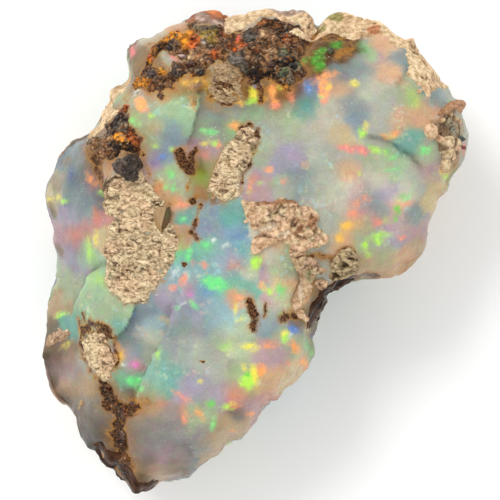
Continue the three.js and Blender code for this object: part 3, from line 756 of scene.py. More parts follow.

# The stains of iron that spread into the opal, and two lines of painted shade: each a line, its width in
# pixels and its strength.
STAINS = [
    ([(202, 202), (198, 212), (195, 224), (192, 234)], 3.2, 0.72),
    ([(192, 232), (198, 239)], 3.2, 0.9),
    ([(197, 198), (206, 197), (214, 202)], 4, 0.6),
    ([(180, 153), (183, 160), (188, 167), (191, 170)], 5.6, 1.2),
    ([(191, 157), (196, 150)], 3.4, 1.0),
    ([(186, 152), (190, 162)], 6, 0.75),
    ([(187, 168), (189, 180), (188, 190)], 4, 0.55),
    ([(193, 201), (193.5, 201.5)], 3.6, 1.3),
    ([(161, 98), (161.5, 98.5)], 3, 1.3),
    ([(194, 101), (196, 108)], 4.5, 0.5),
    ([(100, 384), (105, 400), (112, 420), (117, 440), (121, 465), (126, 482)], 4, 0.72),
    ([(108, 402), (125, 404), (143, 402)], 7, 0.62),
    ([(118, 425), (130, 412), (143, 404)], 9, 0.55),
    ([(114, 432), (122, 436)], 7, 0.75),
    ([(124, 452), (131, 466)], 7, 0.65),
    ([(98, 455), (110, 467), (125, 484), (140, 492), (155, 486)], 5, 0.7),
    ([(249, 301), (252, 310), (256, 320), (254, 327)], 4.6, 0.95),
    ([(265, 304), (266, 312), (263, 318)], 2.6, 0.75),
    ([(282, 318), (289, 314), (298, 315)], 5.5, 0.8),
    ([(300, 258), (315, 255), (332, 258)], 4, 0.75),
    ([(93, 150), (93, 168), (97, 186)], 4, 0.85),
    ([(143, 160), (152, 178), (161, 192), (170, 205)], 4, 0.45),
    ([(312, 39), (325, 38), (338, 38), (350, 41)], 3, 0.8),
    ([(340, 55), (348, 49), (350, 44)], 6, 0.7),
    ([(248, 84), (256, 84), (262, 92), (261, 102)], 4, 0.85),
    ([(270, 80), (284, 82), (288, 92)], 5, 0.8),
    ([(82, 332), (88, 325), (97, 323), (106, 327), (111, 336)], 5, 1.0),
    ([(77, 318), (80, 326)], 2.5, 0.9),
    ([(84, 314), (85, 324)], 2.5, 0.85),
    ([(79, 334), (79, 345), (81, 358), (88, 370), (98, 382)], 2.6, 0.7),
    ([(113, 338), (115, 350), (120, 358), (115, 370)], 3.5, 0.7),
    # This line and the next are painted shade: under the knob and in the notch's recess.
    ([(322, 292), (335, 288), (350, 281), (365, 278), (376, 278)], 5, 1.1),
    ([(312, 322), (316, 308), (322, 297)], 5, 0.85),
    ([(240, 129), (249, 125), (257, 130), (257, 140)], 3.2, 0.85),
    ([(257, 140), (253, 152), (250, 166), (243, 177), (242, 190)], 2.4, 0.75),
    ([(210, 100), (222, 105), (238, 100)], 4, 0.6),
    ([(183, 264.5), (185, 265.5)], 1.3, 1.6),
    ([(185, 317), (185.5, 317)], 1.2, 1.4),
    ([(202, 360), (204, 360.5)], 1.0, 1.4),
]

SPOT = 8  # radius in pixels of a spot that counts once; smaller ones count for more
GLOW = 0.45  # how strongly the glows show in the milk
PARTING, PARTING_REACH = 0.5, 0.6  # how far a step moves the colours beside it, and how far from it
STEP_HIGHLIGHT, STEP_HIGHLIGHT_REACH = 0.35, 0.12  # painted highlight: how much brighter a step's upper edge is painted, and how far from it
STEP_SHADE, STEP_SHADE_REACH = 0.42, 0.3  # painted shade: how much darker the foot of a step is painted, and how far from it
EDGE_HEIGHT = 7  # below this height the upper side's pattern is drawn inward
INWARD = 0.9  # how far inward for each millimetre down
ROUND = 13  # how far the sides' pattern runs on for each radian round the stone
WARM = rgb(150, 108, 58)  # tint of the opal beside iron
WARM_SHARE, WARM_REACH = 0.75, 0.9  # how strong the tint is, and how far from the iron


def spots(xy, table, elsewhere):
    """A soft blend of the spots' colours, and another colour far from all of them."""
    weight = np.full(len(xy), 1e-4)
    total = weight[:, None] * elsewhere
    for colour, places in table:
        for u, v, radius in places:
            away = ((xy - plan((u, v))) ** 2).sum(axis=1) / (radius / PX_PER_MM) ** 2
            share = (SPOT / radius) ** 2 * np.exp(-1.1 * away)
            weight += share
            total += share[:, None] * colour
    return total / weight[:, None]


def each_ellipse(xy, table):
    """For each ellipse of a table its colour, its smaller half width, and how far along its own two axes each
    point is, where 1 is its edge."""
    for colour, places in table:
        for u, v, length, width, *turn in places:
            angle = math.radians(turn[0] if turn else 0)
            c, s = math.cos(angle), math.sin(angle)
            reach = xy - plan((u, v))
            out = np.column_stack([reach @ (c, s) / length, reach @ (-s, c) / width]) * PX_PER_MM
            yield np.array(colour), min(length, width) / PX_PER_MM, out


def ellipses(xy, table):
    """The deepest that each point is inside any of the ellipses, and that ellipse's colour."""
    depth, colours = np.full(len(xy), -1.0), np.zeros((len(xy), 3)) + GLINT_WHITE
    for colour, narrowest, out in each_ellipse(xy, table):
        inside = (1 - np.linalg.norm(out, axis=1)) * narrowest
        deeper = inside > depth
        depth = np.where(deeper, inside, depth)
        colours[deeper] = colour
    return depth, colours


def felt(out):
    """How strongly a soft ellipse is felt at each point, from 0 to 1."""
    return np.exp(-1.3 * (out ** 2).sum(axis=1))[:, None]


def lit(xy, colours):
    """Mixes the glows into some colours."""
    for glow, _, out in each_ellipse(xy, GLOWS):
        colours = colours + GLOW * felt(out) * (glow - colours)
    return colours


def shaded(xy, colours):
    """Multiplies some colours by the darker and lighter places."""
    for shade, _, out in each_ellipse(xy, SHADES):
        colours = colours * (1 - felt(out) * (1 - shade))
    return colours


def fold(values, low, high):
    """Runs values back and forth between two limits."""
    part = (values - low) / (high - low) % 2
    return low + (high - low) * np.where(part > 1, 2 - part, part)


def unfolded(points, normals):
    """Where the pattern of the upper side is looked up, and the share of each place.

    It is as it is on top, run round the sides, and turned and shifted on the back. On the steep edge of the
    top it moves inward with the depth.
    """
    xy, z = points[:, :2], points[:, 2]
    angle = np.arctan2(xy[:, 1] - HUB[1], xy[:, 0] - HUB[0])
    outward = np.column_stack([np.cos(angle), np.sin(angle)])
    steep = smoothstep(0.34, 0.04, normals[:, 2])
    top = xy - outward * (INWARD * steep * (EDGE_HEIGHT - z))[:, None]
    sides = np.column_stack([fold(ROUND * angle + 3, -8, 8), 3.2 - 1.1 * z + 2 * np.sin(2 * angle)])
    back = np.column_stack([fold(xy[:, 1] * 0.9 + 1.5, -8.5, 9), fold(-xy[:, 0] * 0.9 - 1, -8.5, 7.5)])
    top_share = smoothstep(-0.12, 0.1, normals[:, 2])
    back_share = smoothstep(-0.55, -0.8, normals[:, 2])
    return (top, sides, back), (top_share, 1 - top_share - back_share, back_share)


def plates(xy):
    """How the steps between plates part the colours: where each point's colour is looked up, moved away from
    the nearest step, and its painted light: painted shade at the foot of a step, a painted highlight on its
    upper edge, and darker along the grooves."""
    moved, light = xy.copy(), np.ones(len(xy))
    for step in STEPS:
        line = plan(step["line"])
        away, side, along = away_from_line(xy, line)
        taper = tapered(along, 0.12)
        moved += (PARTING * taper * side * np.exp(-away / PARTING_REACH))[:, None] * across(line)
        high = side * np.sign(step["rise"]) > 0
        strength = min(1.0, 2.5 * abs(step["rise"])) * taper
        # painted highlight on a step's upper edge and painted shade at its foot
        highlight, foot_shade = STEP_HIGHLIGHT * np.exp(-away / STEP_HIGHLIGHT_REACH), STEP_SHADE * np.exp(-away / STEP_SHADE_REACH)
        light += strength * np.where(high, highlight, -foot_shade)
    for groove in GROOVES:
        away, _, _ = away_from_line(xy, plan(groove["line"]))
        light -= 0.4 * np.exp(-(away / groove["width"]) ** 2)
    return moved, np.clip(light, 0.4, 1.4)


def warmth(points):
    """How much the opal beside each iron crust is tinted, from 0 to 1."""
    amount = np.zeros(len(points))
    for patch in PATCHES:
        if patch.slot == "ironstone" and patch.halo:
            away = np.maximum(-depth_in(patch, points), 0)
            amount = np.maximum(amount, patch.halo[0] * np.exp(-away / WARM_REACH))
    return amount


def milk_and_flashes(points, normals):
    """The body's soft colours, and its flashes' depths and colours."""
    warp = drift(points, 1.1, 11, 0.32) + drift(points, 0.35, 13, 0.12)
    jag = drift(points, 0.5, 15, 0.14) + drift(points, 0.25, 17, 0.08)
    milk = np.zeros((len(points), 3))
    depth, colours = np.full(len(points), -1.0), np.zeros((len(points), 3)) + GLINT_WHITE
    for turn, (xy, share) in enumerate(zip(*unfolded(points, normals))):
        some = np.flatnonzero(share > 0.001)
        moved, light = plates(xy[some])
        moved += warp[some]
        soft = lit(moved, spots(moved, MILK, MIST))
        if turn == 0:  # only the upper side has the darker and lighter places
            soft = shaded(moved, soft)
        milk[some] += share[some, None] * light[:, None] * soft
        inside, hue = ellipses(xy[some] + jag[some], FLASHES)
        inside -= 0.3 * (1 - share[some])
        deeper = inside > depth[some]
        depth[some[deeper]] = inside[deeper]
        colours[some[deeper]] = hue[deeper]
    return mixed(milk, WARM, WARM_SHARE * warmth(points) * on_top(normals)), depth, colours


def stain(points, normals):
    """How strongly iron has stained the opal, from 0 to 1, with two lines of painted shade among the stains.
    """
    xy = points[:, :2] + 0.1 * np.column_stack([fractal(points, 0.5, 3, 21), fractal(points, 0.5, 3, 31)])
    amount = np.zeros(len(points))
    for line, width, strength in STAINS:
        away, _, _ = away_from_line(xy, plan(line))
        spread = np.exp(-(away / (width / PX_PER_MM)) ** 2 * 0.7)
        amount = np.maximum(amount, strength * (1 + 0.35 * noise(points, 0.45, 26)) * spread)
    uneven = np.clip(1 + 0.9 * noise(points, 1.3, 25), 0.2, 1.4)
    for patch in PATCHES:
        if patch.halo:
            strength, width = patch.halo
            away = np.maximum(-depth_in(patch, points), 0)
            amount = np.maximum(amount, strength * uneven * np.exp(-away / width))
    amount *= smoothstep(0.0, 0.3, normals[:, 2])
    veins = np.abs(noise(points, 3.5, 23))
    skin = smoothstep(0.12, 0.0, veins) * smoothstep(-0.1, 0.5, noise(points, 5.0, 24))
    return np.maximum(amount, 0.9 * skin * (1 - smoothstep(0.0, 0.4, normals[:, 2])))


# ---------------------------------------------------------------- the kinds of rock and iron
# Each kind gives the height of its relief and its colours, from the points and a seed.

IRON_TONES = [UMBER, RUST, UMBER, BARK, CLAY, UMBER, COAL, GRAPHITE, UMBER, OCHRE, COAL, OCHRE]
FLAKE_TONES = [rgb(255, 226, 190), FLESH, CREAM, rgb(255, 220, 184), FLESH]
KNOB = (344, 265)  # the middle of the grey knob

# Soft spots of the iron crusts' colours, each (u, v, radius) in the photograph's pixels.
IRON_SPOTS = [
    (AMBER, [(146, 57, 3), (150, 62, 2), (168, 43, 4), (184, 42, 5), (180, 38, 4), (163, 72, 4),
        (141, 84, 4), (207, 86, 4), (187, 84, 4), (120, 141, 3), (126, 141, 3), (280, 88, 3)]),
    (rgb(176, 84, 30), [(147, 52, 3), (196, 46, 4), (235, 50, 4), (178, 35, 3), (269, 88, 5), (215, 59, 3),
        (242, 48, 3), (131, 137, 4), (125, 107, 3), (139, 146, 4), (286, 43, 3), (222, 34, 3)]),
    (UMBER, [(137, 79, 5), (150, 78, 6), (166, 84, 7), (184, 67, 5), (222, 37, 7), (230, 40, 6),
        (222, 50, 7), (262, 31, 8), (278, 27, 7), (258, 52, 7), (285, 47, 7), (300, 48, 7), (205, 62, 5),
        (112, 154, 6), (270, 72, 7), (115, 400, 8), (118, 430, 8), (122, 460, 8)]),
    (rgb(66, 52, 56), [(120, 428, 7), (117, 440, 5)]),
    (rgb(132, 78, 50), [(130, 408, 6), (138, 403, 5), (127, 416, 5), (128, 450, 5), (131, 462, 5)]),
    (COAL, [(155, 76, 5), (285, 68, 7), (300, 72, 6), (255, 66, 6), (266, 76, 6), (108, 398, 5),
        (112, 414, 4), (175, 72, 4), (200, 73, 4), (176, 48, 4), (168, 50, 4), (255, 58, 6), (251, 70, 5),
        (255, 82, 8), (270, 80, 6), (288, 64, 6), (296, 70, 6), (247, 92, 4), (112, 128, 5), (117, 133, 5),
        (124, 119, 4), (133, 149, 6), (122, 150, 5), (120, 404, 5), (116, 425, 5), (284, 34, 4)]),
    (rgb(158, 120, 88), [(200, 66, 5), (212, 68, 6), (176, 62, 5), (192, 62, 5), (165, 93, 6), (180, 92, 5),
        (262, 40, 4), (272, 57, 5), (270, 44, 5), (250, 62, 4), (265, 70, 4), (104, 147, 5), (98, 148, 4),
        (112, 145, 4), (101, 155, 4), (219, 64, 5), (206, 56, 4)]),
    (rgb(112, 108, 98), [(250, 40, 5), (237, 62, 5), (243, 72, 6), (283, 57, 5), (208, 30, 5), (205, 50, 5),
        (285, 76, 5), (121, 129, 4), (104, 135, 5), (94, 144, 5), (296, 60, 4)]),
    (rgb(136, 118, 44), [(211, 38, 6)]),
]


def tuff(points, seed):
    """Volcanic tuff: pale flakes that lie across it, with cracks and pores between some of them, dark with
    painted shade.
    """
    turned = points @ np.array([[0.92, 0.39, 0], [-0.39, 0.92, 0], [0, 0, 1]])
    warped = turned * (0.55, 1, 0.8) + 0.12 * noise(points, 0.5, seed)[:, None]
    flakes = sum(np.abs(noise(warped, 0.6 / 2 ** k, seed + 3 * k)) / 1.3 ** k for k in range(3))
    pores = smoothstep(0.5, 0.75, noise(warped, 0.4, seed + 11))
    cracks = smoothstep(0.13, 0.02, np.abs(fractal(warped, 0.7, 4, seed + 20)))
    cracks *= smoothstep(-0.25, 0.35, noise(warped, 0.7, seed + 5))
    swell = noise(turned * (0.7, 1, 1), 1.1, seed + 2)
    colours = mixed(CREAM, BISQUE, smoothstep(-0.3, 0.5, noise(points, 1.2, seed + 3)))
    colours = mixed(colours, OCHRE, smoothstep(0.45, 0.2, flakes) * 0.4)
    # painted shade in the cracks and pores
    colours = mixed(colours, rgb(96, 66, 40), np.maximum(cracks * 0.9, pores * 0.7))
    return 0.2 * flakes - 0.12 * pores + 0.16 * swell - 0.12 * cracks - 0.08, colours


def crumbly(points, seed):
    """Flakes of feldspar, each flat and leaning its own way, with gaps between some of them that are dark
    with painted shade.
    """
    bent = points + 0.16 * np.column_stack([fractal(points, 0.5, 4, seed + k) for k in range(3)])
    first, second, number, reach = grains_of(bent * (0.9, 1.1, 0.1), 0.9, seed)
    height = 0.24 * number + 0.22 * tilted(number, reach)
    gap = smoothstep(0.07, 0.0, second - first) * smoothstep(-0.1, 0.25, noise(points, 0.8, seed + 4))
    first, second, number, reach = grains_of(bent * (0.9, 1, 0.3), 0.34, seed + 9)
    height += 0.12 * number + 0.12 * tilted(number, reach) - 0.15
    crack = smoothstep(0.14, 0.0, second - first)
    crack *= smoothstep(-0.05, 0.35, noise(points, 0.6, seed + 5))
    colours = tones(number, FLAKE_TONES)
    colours = mixed(colours, OCHRE, smoothstep(0.0, 0.6, fractal(points, 0.9, 3, seed + 2)) * 0.42)
    # painted shade in the gaps and cracks
    return height - 0.05 * gap, mixed(colours, rgb(100, 56, 28), np.maximum(gap, crack) * 0.85)


def nodules(points, seed):
    """Round nodules of feldspar, packed together with gaps between them that are dark with painted shade."""
    bent = points * (1, 1, 0.2) + 0.04 * noise(points, 0.3, seed)[:, None]
    first, second, number, _ = grains_of(bent, 0.56, seed)
    height = 0.34 * np.sqrt(np.clip(1 - 1.3 * first ** 2, 0, 1)) + 0.12 * number - 0.2
    colours = tones(number, [BISQUE, FLESH, CREAM])
    colours = mixed(colours, OCHRE, smoothstep(0.0, 0.6, noise(points, 0.5, seed + 2)) * 0.4)
    # painted shade in the gaps between the nodules
    return height, mixed(colours, rgb(84, 52, 32), smoothstep(0.16, 0.0, second - first) * 0.85)


def glass(points, seed):
    """Dark brown glassy opal, also laid as painted shade under the knob and in the notch."""
    cloudy = smoothstep(-0.4, 0.4, noise(points, 0.9, seed))
    return 0.05 * fractal(points, 0.9, 3, seed), mixed(rgb(40, 22, 12), rgb(74, 48, 32), cloudy)


def gills(points, seed):
    """A knob of grey tuff with ragged ridges across it, painted shade in the valleys between them, and darker
    round its edge.
    """
    turned = points @ np.array([[0.9, 0.44, 0], [-0.44, 0.9, 0], [0, 0, 1]])
    warped = turned * (0.45, 1, 0.3) + 0.14 * noise(points, 0.4, seed)[:, None]
    ridges = 1 - 2.2 * np.abs(noise(warped, 0.36, seed + 1)) - 0.8 * np.abs(noise(warped, 0.18, seed + 2))
    # painted shade in the valleys between the ridges
    colours = mixed(rgb(206, 184, 146), rgb(84, 66, 44), smoothstep(0.6, -0.2, ridges))
    edge = smoothstep(0.95, 1.4, np.linalg.norm(points[:, :2] - plan(KNOB), axis=1))
    height = 0.2 * ridges + 0.1 * noise(points, 0.6, seed + 3) - 0.1
    return height, mixed(colours, rgb(56, 40, 28), edge * 0.75)


def lump(points, seed):
    """A dark clast, broken into a few glossy faces with paler edges."""
    first, second, number, reach = grains_of(points + 0.12 * noise(points, 0.6, seed)[:, None], 0.9, seed)
    height = 0.3 * number - 0.15 * first + 0.3 * tilted(number, reach) + 0.08 * fractal(points, 0.4, 4, seed)
    colours = mixed(rgb(104, 88, 78), COAL, smoothstep(0.1, 1.0, number) * 0.8)
    edge = smoothstep(0.08, 0.0, second - first) * smoothstep(-0.1, 0.3, noise(points, 0.4, seed + 4))
    return height, mixed(colours, rgb(176, 158, 142), edge * 0.5)


def iron(points, seed):
    """A crust of iron oxide, opal and rock: dark crumbs with rusty, amber and pale ones among them, and
    painted shade in its hollows.
    """
    rough = fractal(points, 0.9, 4, seed)
    bent = points + 0.12 * noise(points, 0.25, seed + 1)[:, None]
    first, second, number, _ = grains_of(bent, 0.26, seed)
    height = 0.26 * rough + 0.08 * number - 0.05 * smoothstep(0.15, 0.0, second - first)
    blotch = points[:, :2] + drift(points, 0.6, seed + 4, 0.12)
    colours = tones(number, IRON_TONES)
    colours = colours + 0.74 * (spots(blotch, IRON_SPOTS, UMBER) - colours)
    # painted shade in the crust's hollows
    return height, mixed(colours, COAL, smoothstep(0.05, -0.5, rough) * 0.75)


def smooth(points, seed):
    """Weathered rock, nearly smooth but for its pits."""
    pits = smoothstep(0.3, 0.65, noise(points, 0.32, seed + 1))
    pits *= smoothstep(-0.3, 0.3, noise(points, 1.6, seed + 5))
    colours = mixed(CREAM, BISQUE, smoothstep(-0.4, 0.6, noise(points, 1.4, seed)))
    colours = mixed(colours, OCHRE, smoothstep(0.0, 0.7, fractal(points, 1.1, 3, seed + 2)) * 0.6)
    return 0.06 * fractal(points, 0.8, 3, seed) - 0.1 * pits, mixed(colours, rgb(120, 78, 50), pits * 0.8)


KINDS = {
    "tuff": tuff,
    "crumbly": crumbly,
    "iron": iron,
    "smooth": smooth,
    "gills": gills,
    "lump": lump,
    "nodules": nodules,
    "glass": glass,
}


# ---------------------------------------------------------------- pieces of rock and iron

SUNK = 0.25  # how far a patch's hidden edge lies under the stone's surface
MARGIN = 0.5  # how far outside a patch the stone's faces are taken into it
FADE = 1.6  # how fast a patch thins out as the surface turns away
TINT = 0.75  # share of a patch's tint

# Coloured grains in the crusts, and a few painted highlights: their colours and their ellipses.
DABS = [
    (AMBER, [(172, 42, 7, 2.6, 10), (184, 43, 5, 2.5, -20), (182, 37, 5, 2.6), (155, 53, 3.5, 1.6, 50),
        (147, 83, 5, 3), (163, 71, 3.5, 6, 30), (187, 83, 5, 2.4), (120, 137, 5, 2, 30)]),
    (GOLD, [(172, 41, 5, 1.6, 10), (184, 42, 4, 1.4, -30), (162, 70, 2.4, 4, 30)]),
    (rgb(190, 92, 28), [(196, 46, 5.5, 4), (238, 50, 6, 4), (152, 60, 3, 6, 40), (178, 35, 4, 2),
        (132, 139, 4, 2.5, 20)]),
    (rgb(128, 110, 44), [(211, 37, 9, 3.4, 10), (213, 31, 6, 4)]),
    (GRAPHITE, [(250, 39, 8, 6), (237, 60, 8, 5), (243, 68, 5, 7), (212, 28, 7, 4), (174, 49, 8, 2.2),
        (178, 73, 6, 5), (200, 74, 5, 3.4), (153, 75, 6, 6)]),
    (COAL, [(255, 80, 9, 6), (268, 78, 8, 4), (170, 47, 5, 2), (291, 66, 8, 5), (118, 122, 6, 8),
        (122, 147, 16, 4, -10), (345, 50, 7, 6)]),
    (rgb(84, 100, 72), [(283, 56, 5, 5), (284, 76, 5, 5), (330, 52, 5, 6), (296, 68, 6, 5)]),
    (LEAF, [(303, 61, 4, 3), (319, 51, 5, 3.4, 20), (337, 45, 5, 3), (321, 60, 4, 6)]),
    # Painted glints: small silver highlights on the crust.
    (rgb(190, 190, 196), [(236, 61, 3, 1.2, -30), (246, 41.5, 1.3, 1.1), (240, 58, 3, 1, 20),
        (205, 46, 2.4, 0.9, -50), (235, 65, 1.2, 1)]),
    (RED, [(238, 41, 2.4, 2.2)]),
    # The two marks on the dome are its painted highlight; the long one on the top rim is its own mauve grey.
    (rgb(172, 152, 142), [(290, 12, 24, 4), (203, 17, 8, 6, -15), (216, 20, 9, 3.4, 20)]),
    # The first two are painted highlights on the dome; the third is a pale mark at the lens' end.
    (rgb(222, 212, 200), [(200, 24, 5, 1.6, 10), (203, 14, 4, 1.4, -30), (311, 36, 5, 1.4)]),
    (rgb(150, 148, 84), [(336, 19, 8, 4.6), (322, 29, 4, 5, -40)]),
    (rgb(186, 112, 66), [(298, 29, 10, 2.2, -35), (266, 26, 9, 1.6, 20), (214, 10, 9, 3), (374, 30, 6, 5)]),
    (rgb(160, 108, 68), [(280, 202, 26, 2.4, 3), (312, 222, 7, 4, 60), (262, 203, 7, 3),
        (298, 230, 7, 3, 50), (309, 268, 8, 1.6, -20)]),
    (rgb(184, 184, 140), [(309, 275, 4, 7, 10)]),
    (rgb(240, 224, 200), [(301, 290, 2.4, 12, 8), (268, 226, 9, 4, 10), (283, 233, 7, 3, 20)]),
    (BARK, [(100, 172, 3, 14, -14), (106, 184, 2.4, 12, -14), (112, 181, 2, 9, -50), (96, 192, 2.4, 9, -8),
        (269, 213, 1.1, 5, 10), (283, 216, 6, 1.1, -20), (262, 236, 9, 1.2, 10), (292, 222, 1.1, 5, 30),
        (304, 262, 6, 1.2, 20), (301, 212, 5, 1.1, -60)]),
    (BUFF, [(262, 41, 2, 3.5), (271, 55, 2, 4), (190, 60, 6, 1.8), (228, 28, 3, 3), (200, 63, 4, 1.5)]),
]


def cut_patch(patch, coarse):
    """The faces of the coarse stone that a patch lies on, made finer, above all on the upper side."""
    faces = coarse.data.polygons
    chosen = depth_in(patch, gathered(faces, "center") / MM) > -MARGIN
    if patch.outline:
        chosen &= gathered(faces, "normal")[:, 2] > -0.2
    return cut_out(coarse, patch.name, chosen, 2 if patch.outline else 1)


def dabbed(points, colours, seed):
    """Some colours with the coloured grains and the painted highlights on them."""
    depth, dabs = ellipses(points[:, :2] + 0.05 * noise(points, 0.2, seed)[:, None], DABS)
    return mixed(colours, dabs, smoothstep(-0.04, 0.05, depth) * 0.85)


def patch_piece(patch, seed, coarse, rim):
    """A patch's own mesh: its relief on top, and a plain underside hidden in the stone."""
    piece = cut_patch(patch, coarse)
    points, normals = places_and_normals(piece)
    turned_in = normals[:, 2] + 0.15 if patch.outline else 0.1 - normals[:, 2]
    depth = np.minimum(depth_in(patch, points), FADE * turned_in)
    relief, colours = KINDS[patch.kind](points, seed)
    inside = smoothstep(-0.12, patch.edge, depth)
    height = -SUNK + (SUNK + patch.thick) * inside + relief * smoothstep(-0.3, 0.05, depth)
    if patch.tint:
        colours = mixed(colours, patch.tint, np.full(len(points), TINT))
    if patch.outline:
        colours = dabbed(points, colours, seed)
    base = points + normals * stone_relief(points, normals)[:, None]
    thickened(piece, rim.fit(base + normals * height[:, None]), rim.fit(base - normals * SUNK * 2), colours)
    return piece


def thickened(piece, top, bottom, colours):
    """Closes a sheet with an underside and walls, and puts both of its sides in place."""
    piece.modifiers.new("thickness", "SOLIDIFY").thickness = SUNK * MM
    applied(piece)
    place(piece, np.vstack([top, bottom]))
    keep_colour(piece, "paint", np.vstack([colours, colours]))


# ---------------------------------------------------------------- grains and crystals

# Each grain is (u, v, length, width, height, turn in degrees, colour), with lengths in pixels. `lift` is how
# high a grain's middle stands above the stone, as a share of its height.
CRUMBS = [
    dict(name="lumps", slot="host_rock", look="feldspar", corners=60, smooth=True, lift=0.3, places=[
        (455, 119, 6, 5, 6, 0, BUFF), (450, 115, 5, 4, 5, 0, BISQUE), (441, 121, 8, 5, 5, 30, BUFF),
        (459, 122, 5, 4, 5, 0, BISQUE)]),
    dict(name="crumbs", slot="host_rock", look="feldspar", corners=12, smooth=False, lift=0.3, places=[
        (67, 331, 5, 4, 4, 0, CREAM), (52, 342, 5, 4, 4, 0, BUFF), (312, 276, 6, 5, 5, 0, FLESH),
        (301, 312, 6, 5, 5, 0, FLESH), (306, 319, 7, 6, 6, 40, BISQUE), (246, 222, 5, 4, 4, 0, BISQUE),
        (214, 198, 5, 4, 4, 0, OCHRE), (335, 30, 6, 5, 5, 0, CREAM), (418, 92, 7, 5, 5, 20, FLESH),
        (424, 84, 6, 5, 5, 0, CREAM)]),
    dict(name="iron_crystals", slot="ironstone", look="clast", corners=18, smooth=False, lift=0.25, places=[
        (237, 62, 18, 11, 12, -10, rgb(112, 104, 98)), (244, 70, 9, 14, 10, 10, rgb(88, 80, 66)),
        (250, 40, 16, 12, 11, 0, rgb(84, 80, 72)), (213, 29, 14, 8, 9, 10, rgb(84, 76, 52)),
        (153, 76, 12, 11, 10, 0, rgb(74, 58, 58)), (177, 73, 11, 9, 9, 0, rgb(60, 48, 44)),
        (201, 74, 9, 7, 8, 0, rgb(52, 40, 38)), (283, 57, 9, 9, 8, 0, rgb(92, 94, 82)),
        (285, 77, 9, 8, 8, 0, rgb(62, 68, 52)), (293, 68, 12, 9, 9, 0, rgb(50, 48, 42)),
        (330, 52, 8, 9, 7, 0, rgb(80, 86, 62)), (118, 120, 9, 11, 8, 0, rgb(66, 58, 54)),
        (172, 48, 14, 5, 7, 0, rgb(40, 32, 34)), (210, 62, 12, 6, 7, -10, rgb(64, 46, 36)),
        (270, 66, 13, 8, 8, 20, rgb(82, 58, 44)), (224, 44, 11, 7, 7, 0, rgb(96, 62, 44)),
        (193, 65, 13, 7, 8, 10, rgb(90, 54, 40)), (262, 45, 7, 8, 6, 0, rgb(150, 128, 88))]),
    dict(name="clear_crystals", slot="crystal", look="crystal", corners=9, smooth=False, lift=0.3, places=[
        (447, 123, 12, 7, 9, 60, rgb(176, 168, 140)), (452, 129, 9, 6, 8, 40, rgb(150, 150, 132)),
        (441, 128, 9, 5, 7, 20, rgb(140, 112, 92)), (461, 139, 7, 10, 9, 80, rgb(78, 96, 96)),
        (463, 148, 5, 9, 8, 80, rgb(190, 96, 96)), (184, 57, 13, 5, 6, -10, rgb(214, 190, 190)),
        (138, 91, 9, 4, 4, 30, rgb(220, 222, 218)), (176, 41, 12, 5, 5, 10, rgb(214, 150, 40)),
        (162, 71, 5, 12, 5, 30, rgb(220, 168, 40)), (196, 46, 9, 7, 6, 0, rgb(206, 98, 30))]),
]

# The brown crystal that stands in the tuff: its corners (u, v, height in pixels).
CRYSTAL = [
    (154, 212, 3), (158, 207, 7), (167, 208, 14), (171, 207, 7), (172, 214, 2), (162, 227, 11), (170, 224, 0),
    (163, 237, 0), (155, 226, 0), (155, 212, -6), (171, 212, -6), (163, 232, -6),
]
CRYSTAL_COLOUR = rgb(164, 134, 96)
CRYSTAL_LIFT = 0.15  # how far above the opal its heights are counted from
OFF_EDGE = 6  # height of a grain whose middle is beyond the stone's edge


def started():
    """An empty mesh whose points can be painted."""
    building = bmesh.new()
    building.verts.layers.float_color.new("paint")
    return building


def hull(building, corners, colour, smooth):
    """Adds the smallest solid round some corners, kept inside the CAD part's box."""
    fresh = [building.verts.new(Vector(corner) * MM) for corner in np.clip(corners, LOW, HIGH)]
    paint = building.verts.layers.float_color["paint"]
    for vertex in fresh:
        vertex[paint] = (*colour, 1)
    made = bmesh.ops.convex_hull(building, input=fresh, use_existing_faces=False)
    inner = [v for v in made["geom_interior"] + made["geom_unused"] if isinstance(v, bmesh.types.BMVert)]
    bmesh.ops.delete(building, geom=list(set(inner)), context="VERTS")
    for vertex in fresh:
        if vertex.is_valid:
            for face in vertex.link_faces:
                face.smooth = smooth


def built(building, name):
    """Makes an object of a mesh being built."""
    mesh = bpy.data.meshes.new(name)
    building.to_mesh(mesh)
    building.free()
    return linked(bpy.data.objects.new(name, mesh))


def ground(surface, xy):
    """The height of the stone at a place in plan."""
    spot = surface.ray_cast(Vector((*(xy * MM), 1)), Vector((0, 0, -1)))[0]
    return spot.z / MM if spot else OFF_EDGE


def grain_corners(grain, count, lift, seed, surface):
    """Corners spread over a blunt ellipsoid that rests on the stone."""
    u, v, length, width, height, turn, _ = grain
    xy = plan((u, v))[0]
    k = np.arange(count) + 0.5
    polar, around = np.arccos(1 - 2 * k / count), math.pi * (1 + 5 ** 0.5) * k + seed
    ball = np.column_stack([np.cos(around) * np.sin(polar), np.sin(around) * np.sin(polar), np.cos(polar)])
    cells = np.column_stack([k * 2, k * 0 + seed, k * 0]).astype(np.int64)
    ball *= (1 + 0.3 * (hashed(cells, 3) - 0.5))[:, None]
    ball *= np.array([length, width, height]) / 2 / PX_PER_MM
    c, s = math.cos(math.radians(turn)), math.sin(math.radians(turn))
    middle = (*xy, ground(surface, xy) + lift * height / PX_PER_MM)
    return ball @ np.array([[c, s, 0], [-s, c, 0], [0, 0, 1]]) + middle


def crumb_piece(group, surface):
    """A group of loose grains as one mesh."""
    building = started()
    for seed, grain in enumerate(group["places"]):
        corners = grain_corners(grain, group["corners"], group["lift"], seed, surface)
        hull(building, corners, grain[-1], group["smooth"])
    return built(building, group["name"])


def brown_crystal(surface):
    """The brown crystal in the tuff."""
    building = started()
    xy, heights = plan(CRYSTAL), np.array(CRYSTAL, float)[:, 2]
    foot = ground(surface, xy.mean(axis=0)) + CRYSTAL_LIFT
    hull(building, np.column_stack([xy, foot + heights / PX_PER_MM]), CRYSTAL_COLOUR, False)
    return built(building, "brown_crystal")


# ---------------------------------------------------------------- materials


